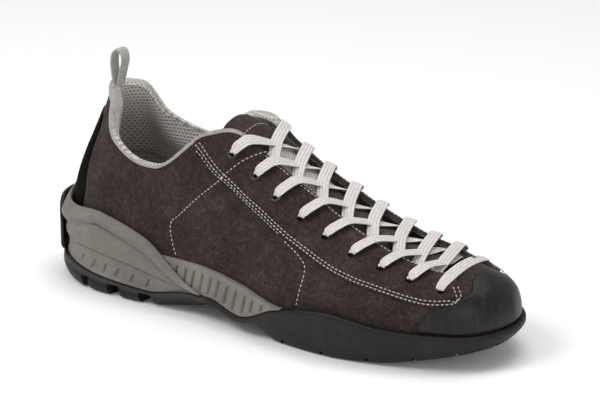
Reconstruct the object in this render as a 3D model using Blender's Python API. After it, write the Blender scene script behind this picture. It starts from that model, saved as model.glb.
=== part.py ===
"""Low approach shoe for the right foot, standing empty on its sole.

The shoe is lofted from one table of last sections. A section is a vertical plane that turns round
the heel and the toe, and its wall is one cubic curve from the feather line, where the upper meets
the sole, to the top edge, which is the collar and then the throat. Every other piece follows the
same sections. X runs from heel to toe, Y to the inner (medial) side and Z up. Sizes are in
millimetres and become metres where the meshes are made.
"""

import math
from functools import lru_cache
from types import SimpleNamespace

import bmesh
import bpy
import numpy as np
from mathutils import Vector

MM = 0.001
LATERAL, MEDIAL = -1, 1
SIDE_NAME = {LATERAL: "lateral", MEDIAL: "medial"}

# The last: where each section's spine point is (x, y), how far the section turns from straight
# ahead, then the wall's curve. feather and edge are distances out from the spine, rise and flare
# are how the wall leaves the feather line, and reach and drop are how it arrives at the edge.
LAST_COLUMNS = (
    "x", "y", "turn", "feather_lat", "feather_med", "feather_z", "rise", "flare_lat", "flare_med",
    "edge_lat", "edge_med", "edge_z_lat", "edge_z_med", "reach", "drop",
)
LAST_ROWS = {
    "heel_back":   (34, 0, 180, 34, 34, 27, 34, 6, 6, 12.8, 12.8, 113, 113, 8, 25),
    "heel_corner": (36, 0, 137, 34, 34, 27, 33, 5, 5, 12, 17.5, 107, 111.5, 6.5, 24),
    "heel_side":   (46, 0, 100, 33.5, 33.5, 27, 31, 4, 4, 25, 24.5, 90, 94, 5, 22),
    "ankle":       (72, 0, 90, 34, 32.5, 26, 28, 3, 3, 28, 26, 80.5, 85.5, 4, 20),
    "instep":      (104, 0.5, 90, 36.5, 30.5, 25, 26, 3, 5, 22, 20.5, 103, 104, 8, 16),
    "eyestay_top": (118, 1, 90, 39, 30, 24, 26, 3, 6, 18, 16, 106, 106, 12, 14),
    "waist":       (140, 2, 90, 43, 32, 23, 26, 3, 6, 15.5, 13, 94, 94, 16, 12),
    "vamp":        (168, 4, 90, 49, 37, 22, 24, 3, 5, 15.5, 12, 77.5, 77.5, 19, 10),
    "ball":        (198, 6, 90, 52, 41.5, 21, 19.2, 3, 4, 18, 12.5, 62.4, 62.9, 19.2, 8.2),
    "forefoot":    (224, 7, 88, 48, 42, 21, 17.8, 3, 3, 20, 12.5, 53.5, 54.4, 18.2, 6),
    "toe_side":    (239, 8, 74, 42.5, 38, 19.6, 18.6, 2, 2, 20.5, 12.5, 49.3, 50.4, 15.2, 4.2),
    "toe_corner":  (245, 8.5, 42, 38, 34.5, 19, 20, 2, 2, 14.5, 11, 48.1, 48.5, 14.6, 3.9),
    "toe_tip":     (247, 9, 0, 35, 35, 19.2, 19.8, 2, 2, 8, 8, 48, 48, 15, 4),
}

# The sole at the same sections. The out columns are distances past the feather line, tread_z and
# tread_mid_z are the underside at its edge and on the spine, and the other z columns are the top
# edges of the rubber outsole, of the grey midsole and of the grey heel cup.
SOLE_COLUMNS = (
    "tread_out", "tread_z", "tread_mid_z", "outsole_out", "outsole_z", "midsole_out", "midsole_z",
    "cup_z", "cup_wall",
)
SOLE_ROWS = {
    "heel_back":   (5, 9, 0, 9, 20, 2.4, 29, 57, 3.4),
    "heel_corner": (4, 3, 0, 7.5, 15, 2.4, 29, 52, 3.4),
    "heel_side":   (2.5, 0, 0, 6.2, 10, 2.4, 30, 48.7, 3.4),
    "ankle":       (1, 0, 0, 5.6, 8.5, 2.8, 31, 39.5, 2.8),
    "instep":      (-3, 4.5, 6, 4.8, 14.5, 3.4, 32, 18.5, 1.4),
    "eyestay_top": (-3.5, 8.5, 10, 4.6, 15, 4, 31.5, 15, 0.8),
    "waist":       (-3, 6.5, 8, 4.6, 10.5, 4.5, 28.5, 12, 0.8),
    "vamp":        (-1, 0, 0, 4.6, 21.5, 4.5, 22.5, 22, 0.8),
    "ball":        (-0.5, 0, 0, 4.6, 27, 4.5, 27, 27, 0.8),
    "forefoot":    (-0.5, 1, 1, 4.6, 23, 4.5, 23, 24, 0.8),
    "toe_side":    (-1, 5, 3.5, 4.2, 21.4, 4, 22, 22, 0.8),
    "toe_corner":  (-1, 9, 5, 3.8, 20.7, 4, 21, 21, 0.8),
    "toe_tip":     (-1, 11, 5.5, 3.8, 21, 4, 21, 21, 0.8),
}

HUMP = (43.0, 9.0, 5.8)   # extra height of the inner collar behind the ankle: station, reach, height
SEAT_GAP = 0.3          # between pieces that touch
OVERLAY_GAP = 0.5       # under overlays, where two curved faces run side by side
HEEL_FLOOR = 9.0        # middle of the outsole's upper face under the heel
WALL = 2.0              # suede and lining of the upper
OVERLAY = 1.2           # thickness of eyestay, toe cap and backstay
INSOLE = 4.0
TONGUE = 4.0
TONGUE_GAP = 3.4        # room for the laces between upper and tongue
TONGUE_WINGS = (0.72, 0.86)   # shares of the wall that the tongue's wings lie under
CUP_END = 128.0         # station where the heel cup tapers out
CUP_BEAD = 1.0          # how far the ridge along the cup's top edge stands out
CUP_RIDGE = (           # height of that ridge: station, whole ridge, its sloped top
    (0, 15, 10), (20, 15, 7.5), (31, 13, 5.2), (42, 7.6, 3.5), (54, 4.8, 2.5), (90, 6, 2), (128, 4, 1.5),
)
CUP_STEP = 0.7          # the lower field of the cup stands back by this much
CUP_STEP_SHARE = 0.39   # share of the cup's height where that field ends
CUP_SLITS = (41, 49.5, 59, 68, 78, 89)   # stations of the short slits in it
HEEL_TAB_HALF, HEEL_TAB = 21.5, 2.0  # rubber strip up the back of the cup: half width, thickness
HEEL_TAB_TOP = 47.0     # height of its top edge
BACKSTAY_EDGE = (       # upper edge of the heel panel: station, share of the wall
    (0, 0.93), (20, 0.93), (30, 0.90), (36, 0.85), (39, 0.75),
)
MIDSOLE_END = 181.0     # station where the midsole's wedge runs out
CAP_EDGE = (            # edge of the toe cap: station, share of the wall
    (262, 0.0), (271, 0.24), (281, 0.385), (290, 0.49), (297, 0.585), (302, 0.78), (314, 0.86), (325, 0.82),
)
CAP_SEAM = 0.09         # share between the cap's edge and the eyestay
EYESTAY_WIDTH = (       # eyestay below the throat's edge: station, width
    (112, 3), (116, 7), (122, 14), (128, 21), (134, 26.5), (149, 30), (170, 32), (212, 32), (226, 30.7),
    (239, 28), (253, 26.3), (265, 25), (278, 23.8), (287, 23),
)
EYELETS = (             # lace holes from the top row down: station, distance below the throat's edge
    (139, 12), (154.5, 13.5), (169, 16), (185.5, 17), (201.5, 16.5), (219, 16), (237, 14), (257, 13.5),
    (278, 15),
)
EYELET_HOLE = 2.2
EYELET_RING = 3.6
EYELET_HEIGHT = 0.9
EYELET_ROWS = 3         # the top rows have metal rings, the others are punched
EDGE_NOTCHES = (        # gaps between the lugs along the tread's edge: station, width, depth, height
    (44.8, 5.5, 12, 6.5), (66.3, 8.5, 12, 6.5), (87.5, 9, 12, 6.0), (186, 2, 11, 3), (212, 2, 11, 3),
    (238, 2, 11, 3), (264, 2, 11, 3), (288, 2, 11, 3), (311, 2, 11, 3),
)
LACE_WIDTH, LACE_THICKNESS = 7.0, 1.3
LACE_LIFT = 3.3         # over the tongue's crown
TOE_BAR_BOW = 6.0       # how far the bar at the toe arches over the throat
LACE_OVER_EDGE = 7.3    # stations from a hole to where its strap passes the throat's edge
LACE_CROSSING = 12.5    # stations from a hole to where the two straps cross
LACE_TUCKS = (159, 173.5, 190, 206, 223.5, 241, 255, 269.5)   # stations where the straps tuck in
PAD = 5.0               # collar padding at its fullest
PAD_START = 119.0       # station of its front ends
PAD_RISE = 2.2          # how far it stands above the suede edge
LOOP_WIDTH, LOOP_THICKNESS = 8.0, 1.4
LOOP_PLACES = (         # the loop's middle line: forward and up from the collar's back
    (0.6, 0), (-0.6, 7), (-0.8, 14.5), (1.6, 19.4), (5.2, 19.8), (7.0, 15), (5.4, 8), (3.2, 0),
)

COLOURS = {
    "suede": ((0.060, 0.046, 0.045), 0.9),
    "toe_rubber": ((0.022, 0.021, 0.019), 0.45),
    "sole_rubber": ((0.030, 0.026, 0.023), 0.6),
    "grey_sole": ((0.200, 0.180, 0.165), 0.55),
    "lining": ((0.480, 0.455, 0.420), 0.9),
    "webbing": ((0.420, 0.410, 0.400), 0.85),
    "lace": ((0.640, 0.610, 0.600), 0.85),
    "eyelet": ((0.050, 0.048, 0.047), 0.4),
    "footbed": ((0.120, 0.115, 0.105), 0.9),
}


# Smooth curves through a table's rows


def monotone(places, values, place):
    """Cubic through the values that never overshoots them."""
    steps = np.diff(places)
    slopes = np.diff(values) / steps
    tangents = np.concatenate([slopes[:1], np.zeros(len(values) - 2), slopes[-1:]])
    for i in range(1, len(values) - 1):
        if slopes[i - 1] * slopes[i] > 0:
            before, after = 2 * steps[i] + steps[i - 1], steps[i] + 2 * steps[i - 1]
            tangents[i] = (before + after) / (before / slopes[i - 1] + after / slopes[i])
    i = int(np.clip(np.searchsorted(places, place, side="right") - 1, 0, len(steps) - 1))
    u = (place - places[i]) / steps[i]
    return (
        (2 * u**3 - 3 * u**2 + 1) * values[i]
        + (u**3 - 2 * u**2 + u) * steps[i] * tangents[i]
        + (3 * u**2 - 2 * u**3) * values[i + 1]
        + (u**3 - u**2) * steps[i] * tangents[i + 1]
    )


def column(name):
    table, columns = (LAST_ROWS, LAST_COLUMNS) if name in LAST_COLUMNS else (SOLE_ROWS, SOLE_COLUMNS)
    return np.array([row[columns.index(name)] for row in table.values()], float)


def feather_stations():
    """Distance along the outer feather line from the heel's back to each row."""
    turn = np.radians(column("turn"))
    across = column("x") + column("feather_lat") * np.cos(turn)
    along = column("y") - column("feather_lat") * np.sin(turn)
    return np.concatenate([[0.0], np.cumsum(np.hypot(np.diff(across), np.diff(along)))])


STATIONS = feather_stations()
TOE = float(STATIONS[-1])
TABLE = {name: column(name) for name in LAST_COLUMNS + SOLE_COLUMNS}


@lru_cache(maxsize=None)
def section(station):
    """Every column at this distance along the feather line."""
    found = {n: monotone(STATIONS, v, station) for n, v in TABLE.items()}
    at, reach, height = HUMP
    found["edge_z_med"] += height * math.exp(-(((station - at) / reach) ** 2))
    return SimpleNamespace(**found)


def of_side(sec, name, side):
    return getattr(sec, name + ("_lat" if side == LATERAL else "_med"))


def place(sec, side, out, up):
    """The point of a section that lies this far out from its spine and this high."""
    turn = math.radians(sec.turn)
    return Vector((sec.x + out * math.cos(turn), sec.y + side * out * math.sin(turn), up))


def wall(sec, side, share, offset=0.0):
    """(out, up) of the upper's outer face, from feather line (0) to edge (1), moved out by offset."""
    feather, edge = of_side(sec, "feather", side), of_side(sec, "edge", side)
    top = of_side(sec, "edge_z", side)
    outs = (feather, feather + of_side(sec, "flare", side), edge + sec.reach, edge)
    ups = (sec.feather_z, sec.feather_z + sec.rise, top - sec.drop, top)
    t, k = share, 1 - share
    weights = (k**3, 3 * t * k * k, 3 * t * t * k, t**3)
    slopes = (-3 * k * k, 3 * k * k - 6 * t * k, 6 * t * k - 3 * t * t, 3 * t * t)
    out, up = (sum(w * p for w, p in zip(weights, ps)) for ps in (outs, ups))
    d_out, d_up = (sum(w * p for w, p in zip(slopes, ps)) for ps in (outs, ups))
    length = math.hypot(d_out, d_up)
    return out + offset * d_up / length, up - offset * d_out / length


def wall_point(station, side, share, offset=0.0):
    sec = section(station)
    return place(sec, side, *wall(sec, side, share, offset))


def share_at(sec, side, up):
    """Share of the wall at this height."""
    low, high = 0.0, 1.0
    for _ in range(30):
        middle = (low + high) / 2
        low, high = (middle, high) if wall(sec, side, middle)[1] < up else (low, middle)
    return (low + high) / 2


def share_from_edge(sec, side, distance):
    """Share of the wall that lies this far below its top edge, measured along the wall."""
    steps = 60
    points = [np.array(wall(sec, side, 1 - i / steps)) for i in range(steps + 1)]
    run = np.concatenate([[0], np.cumsum([np.linalg.norm(b - a) for a, b in zip(points, points[1:])])])
    return 1 - float(np.interp(distance, run, np.linspace(0, 1, steps + 1)))


def outer_at(sec, side, up):
    """How far out the upper's outer face is at this height, and its feather line below that."""
    if up <= sec.feather_z:
        return of_side(sec, "feather", side)
    return wall(sec, side, share_at(sec, side, up))[0]


def spread(start, end, count):
    return [float(v) for v in np.linspace(start, end, count)]


RINGS = [0.0, 4.5, 9.5] + spread(16, 56, 6) + spread(67, 237, 14) + spread(246, TOE, 9)


def rings_between(start, end):
    """The stations that all pieces share, so that their facets lie side by side."""
    return [start] + [s for s in RINGS if start + 1 < s < end - 1] + [end]


def round_trip(start):
    """(station, side) from the outer side's start, round the heel's back, to the inner side."""
    outer = [(s, LATERAL) for s in rings_between(0.0, start)[::-1]]
    return outer + [(s, MEDIAL) for s, _ in outer[-2::-1]]


def toe_trip(start):
    """(station, side) from the outer side's start, round the toe, to the inner side."""
    outer = [(s, LATERAL) for s in rings_between(start, TOE)]
    return outer + [(s, MEDIAL) for s, _ in outer[-2::-1]]


# Meshes


def material(name):
    found = bpy.data.materials.get(name)
    if found:
        return found
    made = bpy.data.materials.new(name)
    made.use_nodes = True
    shader = made.node_tree.nodes["Principled BSDF"]
    colour, roughness = COLOURS[name]
    shader.inputs["Base Color"].default_value = (*colour, 1)
    shader.inputs["Roughness"].default_value = roughness
    shader.inputs["Metallic"].default_value = 0.6 if name == "eyelet" else 0.0
    return made


def new_object(name, bm, finish, parent, smooth=True):
    """Welds the mesh, points its faces out and puts it in the scene in metres."""
    bmesh.ops.remove_doubles(bm, verts=bm.verts, dist=0.004)
    bmesh.ops.dissolve_degenerate(bm, edges=bm.edges, dist=0.004)
    bmesh.ops.triangulate(bm, faces=bm.faces, quad_method="SHORT_EDGE")
    bmesh.ops.recalc_face_normals(bm, faces=bm.faces)
    bmesh.ops.scale(bm, vec=(MM, MM, MM), verts=bm.verts)
    mesh = bpy.data.meshes.new(name)
    bm.to_mesh(mesh)
    bm.free()
    obj = bpy.data.objects.new(name, mesh)
    bpy.context.scene.collection.objects.link(obj)
    obj.parent = parent
    if finish:
        mesh.materials.append(material(finish))
    if smooth:
        mesh.shade_smooth()
        mesh.set_sharp_from_angle(angle=math.radians(40))
    return obj


def sweep(rings, closed=False, capped=True):
    """A solid through closed rings of points: joined end to start, capped, or left to weld."""
    bm = bmesh.new()
    loops = [[bm.verts.new(p) for p in ring] for ring in rings]
    pairs = list(zip(loops, loops[1:])) + ([(loops[-1], loops[0])] if closed else [])
    for a, b in pairs:
        for i in range(len(a)):
            j = (i + 1) % len(a)
            bm.faces.new((a[i], a[j], b[j], b[i]))
    if capped and not closed:
        bm.faces.new(loops[0])
        bm.faces.new(loops[-1])
    return bm


def tray(profile, stations):
    """A solid from half profiles that start and end on the spine, folded shut at heel and toe."""
    rings = []
    for s in stations:
        sec = section(s)
        halves = [[place(sec, side, *p) for p in profile(sec, side)] for side in (LATERAL, MEDIAL)]
        rings.append(halves[0] + halves[1][::-1])
    return rings


def box_mesh(bm, centre, axes, sizes):
    """Adds a box to bm: axes are three unit vectors and sizes the full lengths along them."""
    corners = {}
    for a in (-1, 1):
        for b in (-1, 1):
            for c in (-1, 1):
                move = axes[0] * (a * sizes[0] / 2) + axes[1] * (b * sizes[1] / 2)
                corners[a, b, c] = bm.verts.new(centre + move + axes[2] * (c * sizes[2] / 2))
    for fixed in range(3):
        for end in (-1, 1):
            ring = [(-1, -1), (-1, 1), (1, 1), (1, -1)]
            keys = [(*r[:fixed], end, *r[fixed:]) for r in ring]
            bm.faces.new([corners[k] for k in keys])


def cut(target, bm, name, parent):
    """Cuts the shapes in bm out of the target."""
    cutter = new_object(name, bm, None, parent, smooth=False)
    cutter.hide_render = True
    cutter.display_type = "WIRE"
    modifier = target.modifiers.new(name, "BOOLEAN")
    modifier.operation = "DIFFERENCE"
    modifier.object = cutter


def surface_frame(station, side, share, offset):
    """Point on the wall with its directions: along the shoe, up the wall, and outwards."""
    centre = wall_point(station, side, share, offset)
    after, before = min(station + 0.5, TOE), max(station - 0.5, 0.0)
    ahead = wall_point(after, side, share) - wall_point(before, side, share)
    upward = wall_point(station, side, min(share + 0.01, 1)) - wall_point(station, side, max(share - 0.01, 0))
    outward = ahead.cross(upward).normalized() * -side
    ahead.normalize()
    return centre, ahead, outward.cross(ahead) * -side, outward


# Sole


def outsole_profile(sec, side):
    feather = of_side(sec, "feather", side)
    edge = feather + sec.outsole_out
    dish = 0.4 + min(1.0, max(0.0, (72 - sec.x) / 20))
    floor = min(sec.outsole_z - dish, sec.feather_z - SEAT_GAP)
    floor_middle = min(floor, HEEL_FLOOR) if sec.x < section(STATIONS[3]).x else floor
    lip = outer_at(sec, side, sec.outsole_z) + 0.35
    tread = feather + sec.tread_out
    middle = (sec.tread_z + sec.outsole_z) / 2
    return (
        (0, sec.tread_mid_z), (tread * 0.55, sec.tread_mid_z), (tread - 2, sec.tread_z),
        (tread, sec.tread_z + 1.2), ((tread + edge) / 2 + 1.0, middle), (edge, sec.outsole_z - 2.5),
        (edge - 0.5, sec.outsole_z), (lip, sec.outsole_z), (feather + 0.35, floor), (0, floor_middle),
    )


def make_outsole(parent):
    obj = new_object("outsole", sweep(tray(outsole_profile, RINGS), capped=False), "sole_rubber", parent)
    notches = bmesh.new()
    up = Vector((0, 0, 1))
    for s, width, depth, height in EDGE_NOTCHES:
        sec = section(s)
        for side in (LATERAL, MEDIAL):
            reach = of_side(sec, "feather", side) + sec.tread_out
            centre = place(sec, side, reach - depth / 2 + 6, sec.tread_z + height / 2 - 3)
            outward = (place(sec, side, 1, 0) - place(sec, side, 0, 0)).normalized()
            box_mesh(notches, centre, (outward, up.cross(outward), up), (depth + 12, width, height + 6))
    cut(obj, notches, "edge_notches", parent)
    grooves = bmesh.new()
    for s, depth in ((30, 3.5), (52, 3.5), (74, 3.5), (184, 3), (200, 3), (216, 3), (232, 3), (248, 3)):
        sec = section(s)
        span = 2 * (min(sec.feather_lat, sec.feather_med) - 20)
        centre = Vector((sec.x, sec.y, sec.tread_mid_z + depth / 2 - 3))
        axes = (Vector((1, 0, 0)), Vector((0, 1, 0)), Vector((0, 0, 1)))
        box_mesh(grooves, centre, axes, (5, span, depth + 6))
    cut(obj, grooves, "middle_grooves", parent)
    return obj


def midsole_profile(sec, side):
    feather = of_side(sec, "feather", side)
    edge = feather + sec.midsole_out
    base = sec.outsole_z + SEAT_GAP + 0.7 * min(1.0, max(0.0, (72 - sec.x) / 20))
    base_middle = min(base, HEEL_FLOOR + 1.0) if sec.x < section(STATIONS[3]).x else base
    floor = max(sec.feather_z - SEAT_GAP, base + 0.8)
    top = max(sec.midsole_z, floor + 0.6)
    lip = outer_at(sec, side, top) + 0.35
    lip = min(lip, edge - 0.9)
    return (
        (0, base_middle), (edge - 0.4, base), (edge, (base + top) / 2), (edge - 0.3, top),
        (lip, top), (feather + 0.35, floor), (0, floor),
    )


def make_midsole(parent):
    bm = sweep(tray(midsole_profile, rings_between(0.0, MIDSOLE_END)), capped=False)
    front = [v for v in bm.verts if abs(v.co.x - section(MIDSOLE_END).x) < 1e-4]
    bm.faces.new(front)
    obj = new_object("midsole", bm, "grey_sole", parent)
    slits = bmesh.new()
    for s in spread(102, 174.5, 12):
        for side in (LATERAL, MEDIAL):
            sec = section(s)
            edge = of_side(sec, "feather", side) + sec.midsole_out
            low, high = sec.outsole_z, sec.midsole_z
            middle = place(sec, side, edge, (low + high) / 2)
            outward = (place(sec, side, 1, 0) - place(sec, side, 0, 0)).normalized()
            lean = Vector((0.28, 0, 1)).normalized()
            box_mesh(slits, middle, (outward, lean.cross(outward), lean), (1.8, 0.7, 0.6 * (high - low)))
    cut(obj, slits, "side_slits", parent)
    return obj


def cup_inner(sec, side, up):
    return max(outer_at(sec, side, up), of_side(sec, "feather", side) + sec.midsole_out) + 0.35


def cup_top(station):
    """Height of the cup's top edge."""
    sec = section(station)
    return max(sec.cup_z, sec.outsole_z + 2.0)


RIDGE_STATIONS, RIDGE_HEIGHTS, RIDGE_SLOPES = zip(*CUP_RIDGE)
RIDGE_LIMITS = (        # (stations, values) and the greatest share of the cup's height
    ((RIDGE_STATIONS, RIDGE_HEIGHTS), 0.42), ((RIDGE_STATIONS, RIDGE_SLOPES), 0.25),
)


def cup_ring(station, side):
    """Closed section of the heel cup: outer face with its step and ridge, then the inner face."""
    sec = section(station)
    low, high = sec.outsole_z + SEAT_GAP, cup_top(station)
    tall = high - low
    ridge, slope = (min(float(np.interp(station, *pair)), tall * limit) for pair, limit in RIDGE_LIMITS)
    rows = (
        (low, -0.4), (low + CUP_STEP_SHARE * tall, -CUP_STEP), (low + (CUP_STEP_SHARE + 0.04) * tall, 0),
        (high - ridge, 0), (high - 0.8 * ridge, CUP_BEAD), (high - slope, 0.8 * CUP_BEAD),
    )
    shrink = min(1.0, sec.cup_wall / 2.0)
    outer = [(cup_inner(sec, side, z) + sec.cup_wall + shrink * step, z) for z, step in rows]
    outer.append((cup_inner(sec, side, high) + min(0.8, 0.5 * sec.cup_wall), high))
    inner = [(cup_inner(sec, side, z), z) for z in (high, (low + high) / 2, low)]
    return [place(sec, side, *p) for p in outer + inner]


def make_heel_cup(parent):
    rings = [cup_ring(s, side) for s, side in round_trip(CUP_END)]
    obj = new_object("heel_cup", sweep(rings), "grey_sole", parent)
    slits = bmesh.new()
    for s in CUP_SLITS:
        for side in (LATERAL, MEDIAL):
            sec = section(s)
            up = sec.outsole_z + 0.145 * (sec.cup_z - sec.outsole_z)
            middle = place(sec, side, cup_inner(sec, side, up) + sec.cup_wall - CUP_STEP, up)
            outward = (place(sec, side, 1, 0) - place(sec, side, 0, 0)).normalized()
            lean = (Vector((0, 0, 1)) + outward.cross(Vector((0, 0, 1))) * 0.3 * side).normalized()
            box_mesh(slits, middle, (outward, lean.cross(outward), lean), (1.6, 0.7, 4.5))
    cut(obj, slits, "cup_slits", parent)
    return obj


def make_heel_tab(parent):
    """Rubber strip that climbs the back of the heel cup from the outsole."""
    rings = []
    for s, side in round_trip(HEEL_TAB_HALF):
        sec = section(s)
        ups = spread(sec.outsole_z + SEAT_GAP, HEEL_TAB_TOP, 5)
        backs = [cup_inner(sec, side, z) + sec.cup_wall + CUP_BEAD + SEAT_GAP for z in ups]
        outer = [(r + HEEL_TAB * (1 - 0.5 * s / HEEL_TAB_HALF), z) for r, z in zip(backs, ups)]
        rings.append([place(sec, side, *p) for p in outer + list(zip(backs, ups))[::-1]])
    return new_object("heel_tab", sweep(rings), "sole_rubber", parent)


def make_insole(parent):
    def profile(sec, side):
        edge = of_side(sec, "feather", side) - WALL - 0.6
        base = sec.feather_z
        return ((0, base), (edge, base), (edge, base + INSOLE), (0, base + INSOLE * 0.85))

    return new_object("insole", sweep(tray(profile, RINGS), capped=False), "footbed", parent)


# Upper


def cap_edge(station):
    """Share of the wall where the toe cap ends and the suede begins."""
    return float(np.interp(station, *zip(*CAP_EDGE)))


def band_edge(station, side):
    """Share of the wall at the eyestay's lower edge, or at the toe cap's edge further forward."""
    width = float(np.interp(station, *zip(*EYESTAY_WIDTH)))
    return max(share_from_edge(section(station), side, width), cap_edge(station))


def wall_shares(station, side):
    """Shares of the upper's own points, so that overlays can lie on the same facets."""
    band = band_edge(station, side)
    return spread(0, band, 6) + spread(band, 1, 4)[1:]


def shell_ring(station, side, shares, inside, outside):
    """Closed section of a sheet that follows the wall between two offsets."""
    outer = [wall_point(station, side, t, outside) for t in shares]
    return outer + [wall_point(station, side, t, inside) for t in shares[::-1]]


def eyelet_places():
    """(row, station, side, share) of every lace hole, from the top row down."""
    for row, (s, distance) in enumerate(EYELETS):
        for side in (LATERAL, MEDIAL):
            yield row, s, side, share_from_edge(section(s), side, distance)


def lace_holes(name, parent, target, sides_cut):
    holes = bmesh.new()
    sides = 6
    for _, s, side, share in eyelet_places():
        if side not in sides_cut:
            continue
        centre, ahead, upward, outward = surface_frame(s, side, share, 0)
        spokes = [
            ahead * math.cos(2 * math.pi * k / sides) + upward * math.sin(2 * math.pi * k / sides)
            for k in range(sides)
        ]
        rings = [
            [holes.verts.new(centre + spoke * EYELET_HOLE + outward * depth) for spoke in spokes]
            for depth in (-WALL - 1.2, OVERLAY + 1.2)
        ]
        for k in range(sides):
            j = (k + 1) % sides
            holes.faces.new((rings[0][k], rings[0][j], rings[1][j], rings[1][k]))
        holes.faces.new(rings[0])
        holes.faces.new(rings[1])
    cut(target, holes, name, parent)


def make_upper(parent):
    path = [(s, LATERAL) for s in RINGS] + [(s, MEDIAL) for s in RINGS[-2:0:-1]]
    rings = [shell_ring(s, side, wall_shares(s, side), -WALL, 0) for s, side in path]
    obj = new_object("upper", sweep(rings, closed=True), "suede", parent)
    lace_holes("upper_lace_holes", parent, obj, (LATERAL, MEDIAL))
    return obj


def make_toe_cap(parent):
    rings = []
    for s, side in toe_trip(CAP_EDGE[0][0] + 4):
        sec = section(s)
        low = share_at(sec, side, sec.outsole_z + 0.4)
        rows = spread(0, cap_edge(s), 6)[1:]
        shares = [low] + [max(t, low + 0.01 * (i + 1)) for i, t in enumerate(rows)]
        rings.append(shell_ring(s, side, shares, OVERLAY_GAP, OVERLAY_GAP + OVERLAY))
    return new_object("toe_cap", sweep(rings), "toe_rubber", parent)


def make_backstay(parent):
    """Panel round the back of the heel, from the cup's top edge to just under the collar."""
    rings = []
    for s, side in round_trip(BACKSTAY_EDGE[-1][0]):
        sec = section(s)
        low = share_at(sec, side, cup_top(s) + 0.8)
        high = float(np.interp(s, *zip(*BACKSTAY_EDGE)))
        rings.append(shell_ring(s, side, spread(low, high, 4), OVERLAY_GAP, OVERLAY_GAP + OVERLAY))
    return new_object("backstay", sweep(rings), "toe_rubber", parent)


def make_eyestay(side, parent):
    rings = []
    for s in rings_between(EYESTAY_WIDTH[0][0] + 2.0, EYESTAY_WIDTH[-1][0]):
        low, *rest = wall_shares(s, side)[5:]
        low = max(low, cap_edge(s) + CAP_SEAM)
        shares = [low] + [max(t, low + 0.01 * (i + 1)) for i, t in enumerate(rest)]
        shares[-1] = min(shares[-1], 0.99)
        rings.append(shell_ring(s, side, shares, OVERLAY_GAP, OVERLAY_GAP + OVERLAY))
    obj = new_object("eyestay_" + SIDE_NAME[side], sweep(rings), "suede", parent)
    lace_holes("eyestay_lace_holes_" + SIDE_NAME[side], parent, obj, (side,))
    return obj


def make_collar_pad(parent):
    rings = []
    for s, side in round_trip(PAD_START):
        sec = section(s)
        fade = min(1.0, 0.35 + (PAD_START - s) / 40)
        back = -WALL - 2 * SEAT_GAP
        rows = ((0.45, 1.4), (0.62, 0.5 * PAD), (0.8, 0.9 * PAD), (0.93, PAD), (1.0, 0.75 * PAD))
        outer = [place(sec, side, *wall(sec, side, t, back)) for t in (0.45, 0.62, 0.8, 1.0)]
        inner = [place(sec, side, *wall(sec, side, t, back - max(pad * fade, 1.2))) for t, pad in rows]
        lift = Vector((0, 0, PAD_RISE * fade))
        top = [outer[-1] + lift * 0.6, (outer[-1] + inner[-1]) / 2 + lift, inner[-1] + lift * 0.5]
        rings.append(outer + top + inner[::-1])
    return new_object("collar_pad", sweep(rings), "lining", parent)


# Tongue


def tongue_ring(station):
    """Closed section under the throat: a wing below each side of the upper and an arch between."""
    sec = section(station)
    faces = []
    for depth in (WALL + TONGUE_GAP, WALL + TONGUE_GAP + TONGUE):
        wings = {
            side: [wall_point(station, side, t, -depth) for t in (*TONGUE_WINGS, 1.0)]
            for side in (LATERAL, MEDIAL)
        }
        left, right = wings[LATERAL][-1], wings[MEDIAL][-1]
        crown = 0.22 * (right - left).length
        arch = [
            left.lerp(right, u) + Vector((0, 0, crown * 4 * u * (1 - u) * 0.5)) for u in (0.25, 0.5, 0.75)
        ]
        faces.append(wings[LATERAL] + arch + wings[MEDIAL][::-1])
    return faces[0] + faces[1][::-1]


def make_tongue(parent):
    rings = [tongue_ring(s) for s in rings_between(136.0, 264.0)]
    top = [Vector((p.x, p.y * 0.95, p.z)) + Vector((-6, 0, 4)) for p in rings[0]]
    front = [p + Vector((14, 0.5, -6.5)) for p in rings[-1]]
    return new_object("tongue", sweep([top] + rings + [front]), "suede", parent)


# Laces, eyelets and pull loop


def smooth_path(points, per_span):
    """Points along a Catmull-Rom curve through the given ones."""
    ends = [points[0] * 2 - points[1]] + points + [points[-1] * 2 - points[-2]]
    found = []
    for a, b, c, d in zip(ends, ends[1:], ends[2:], ends[3:]):
        for k in range(per_span):
            u = k / per_span
            square, cube = a * 2 - b * 5 + c * 4 - d, b * 3 - a - c * 3 + d
            found.append(0.5 * (b * 2 + (c - a) * u + square * u**2 + cube * u**3))
    return found + [points[-1]]


def strap(path, ups, width, thickness):
    """Flat lace along a path: ups are the directions of its upper face at the path's points."""
    rings = []
    for i, p in enumerate(path):
        ahead = (path[min(i + 1, len(path) - 1)] - path[max(i - 1, 0)]).normalized()
        across = ahead.cross(ups[i]).normalized()
        up = across.cross(ahead)
        corners = ((-0.5, -0.5), (-0.5, 0.5), (0.5, 0.5), (0.5, -0.5))
        rings.append([p + across * (a * width) + up * (b * thickness) for a, b in corners])
    return sweep(rings)


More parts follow.
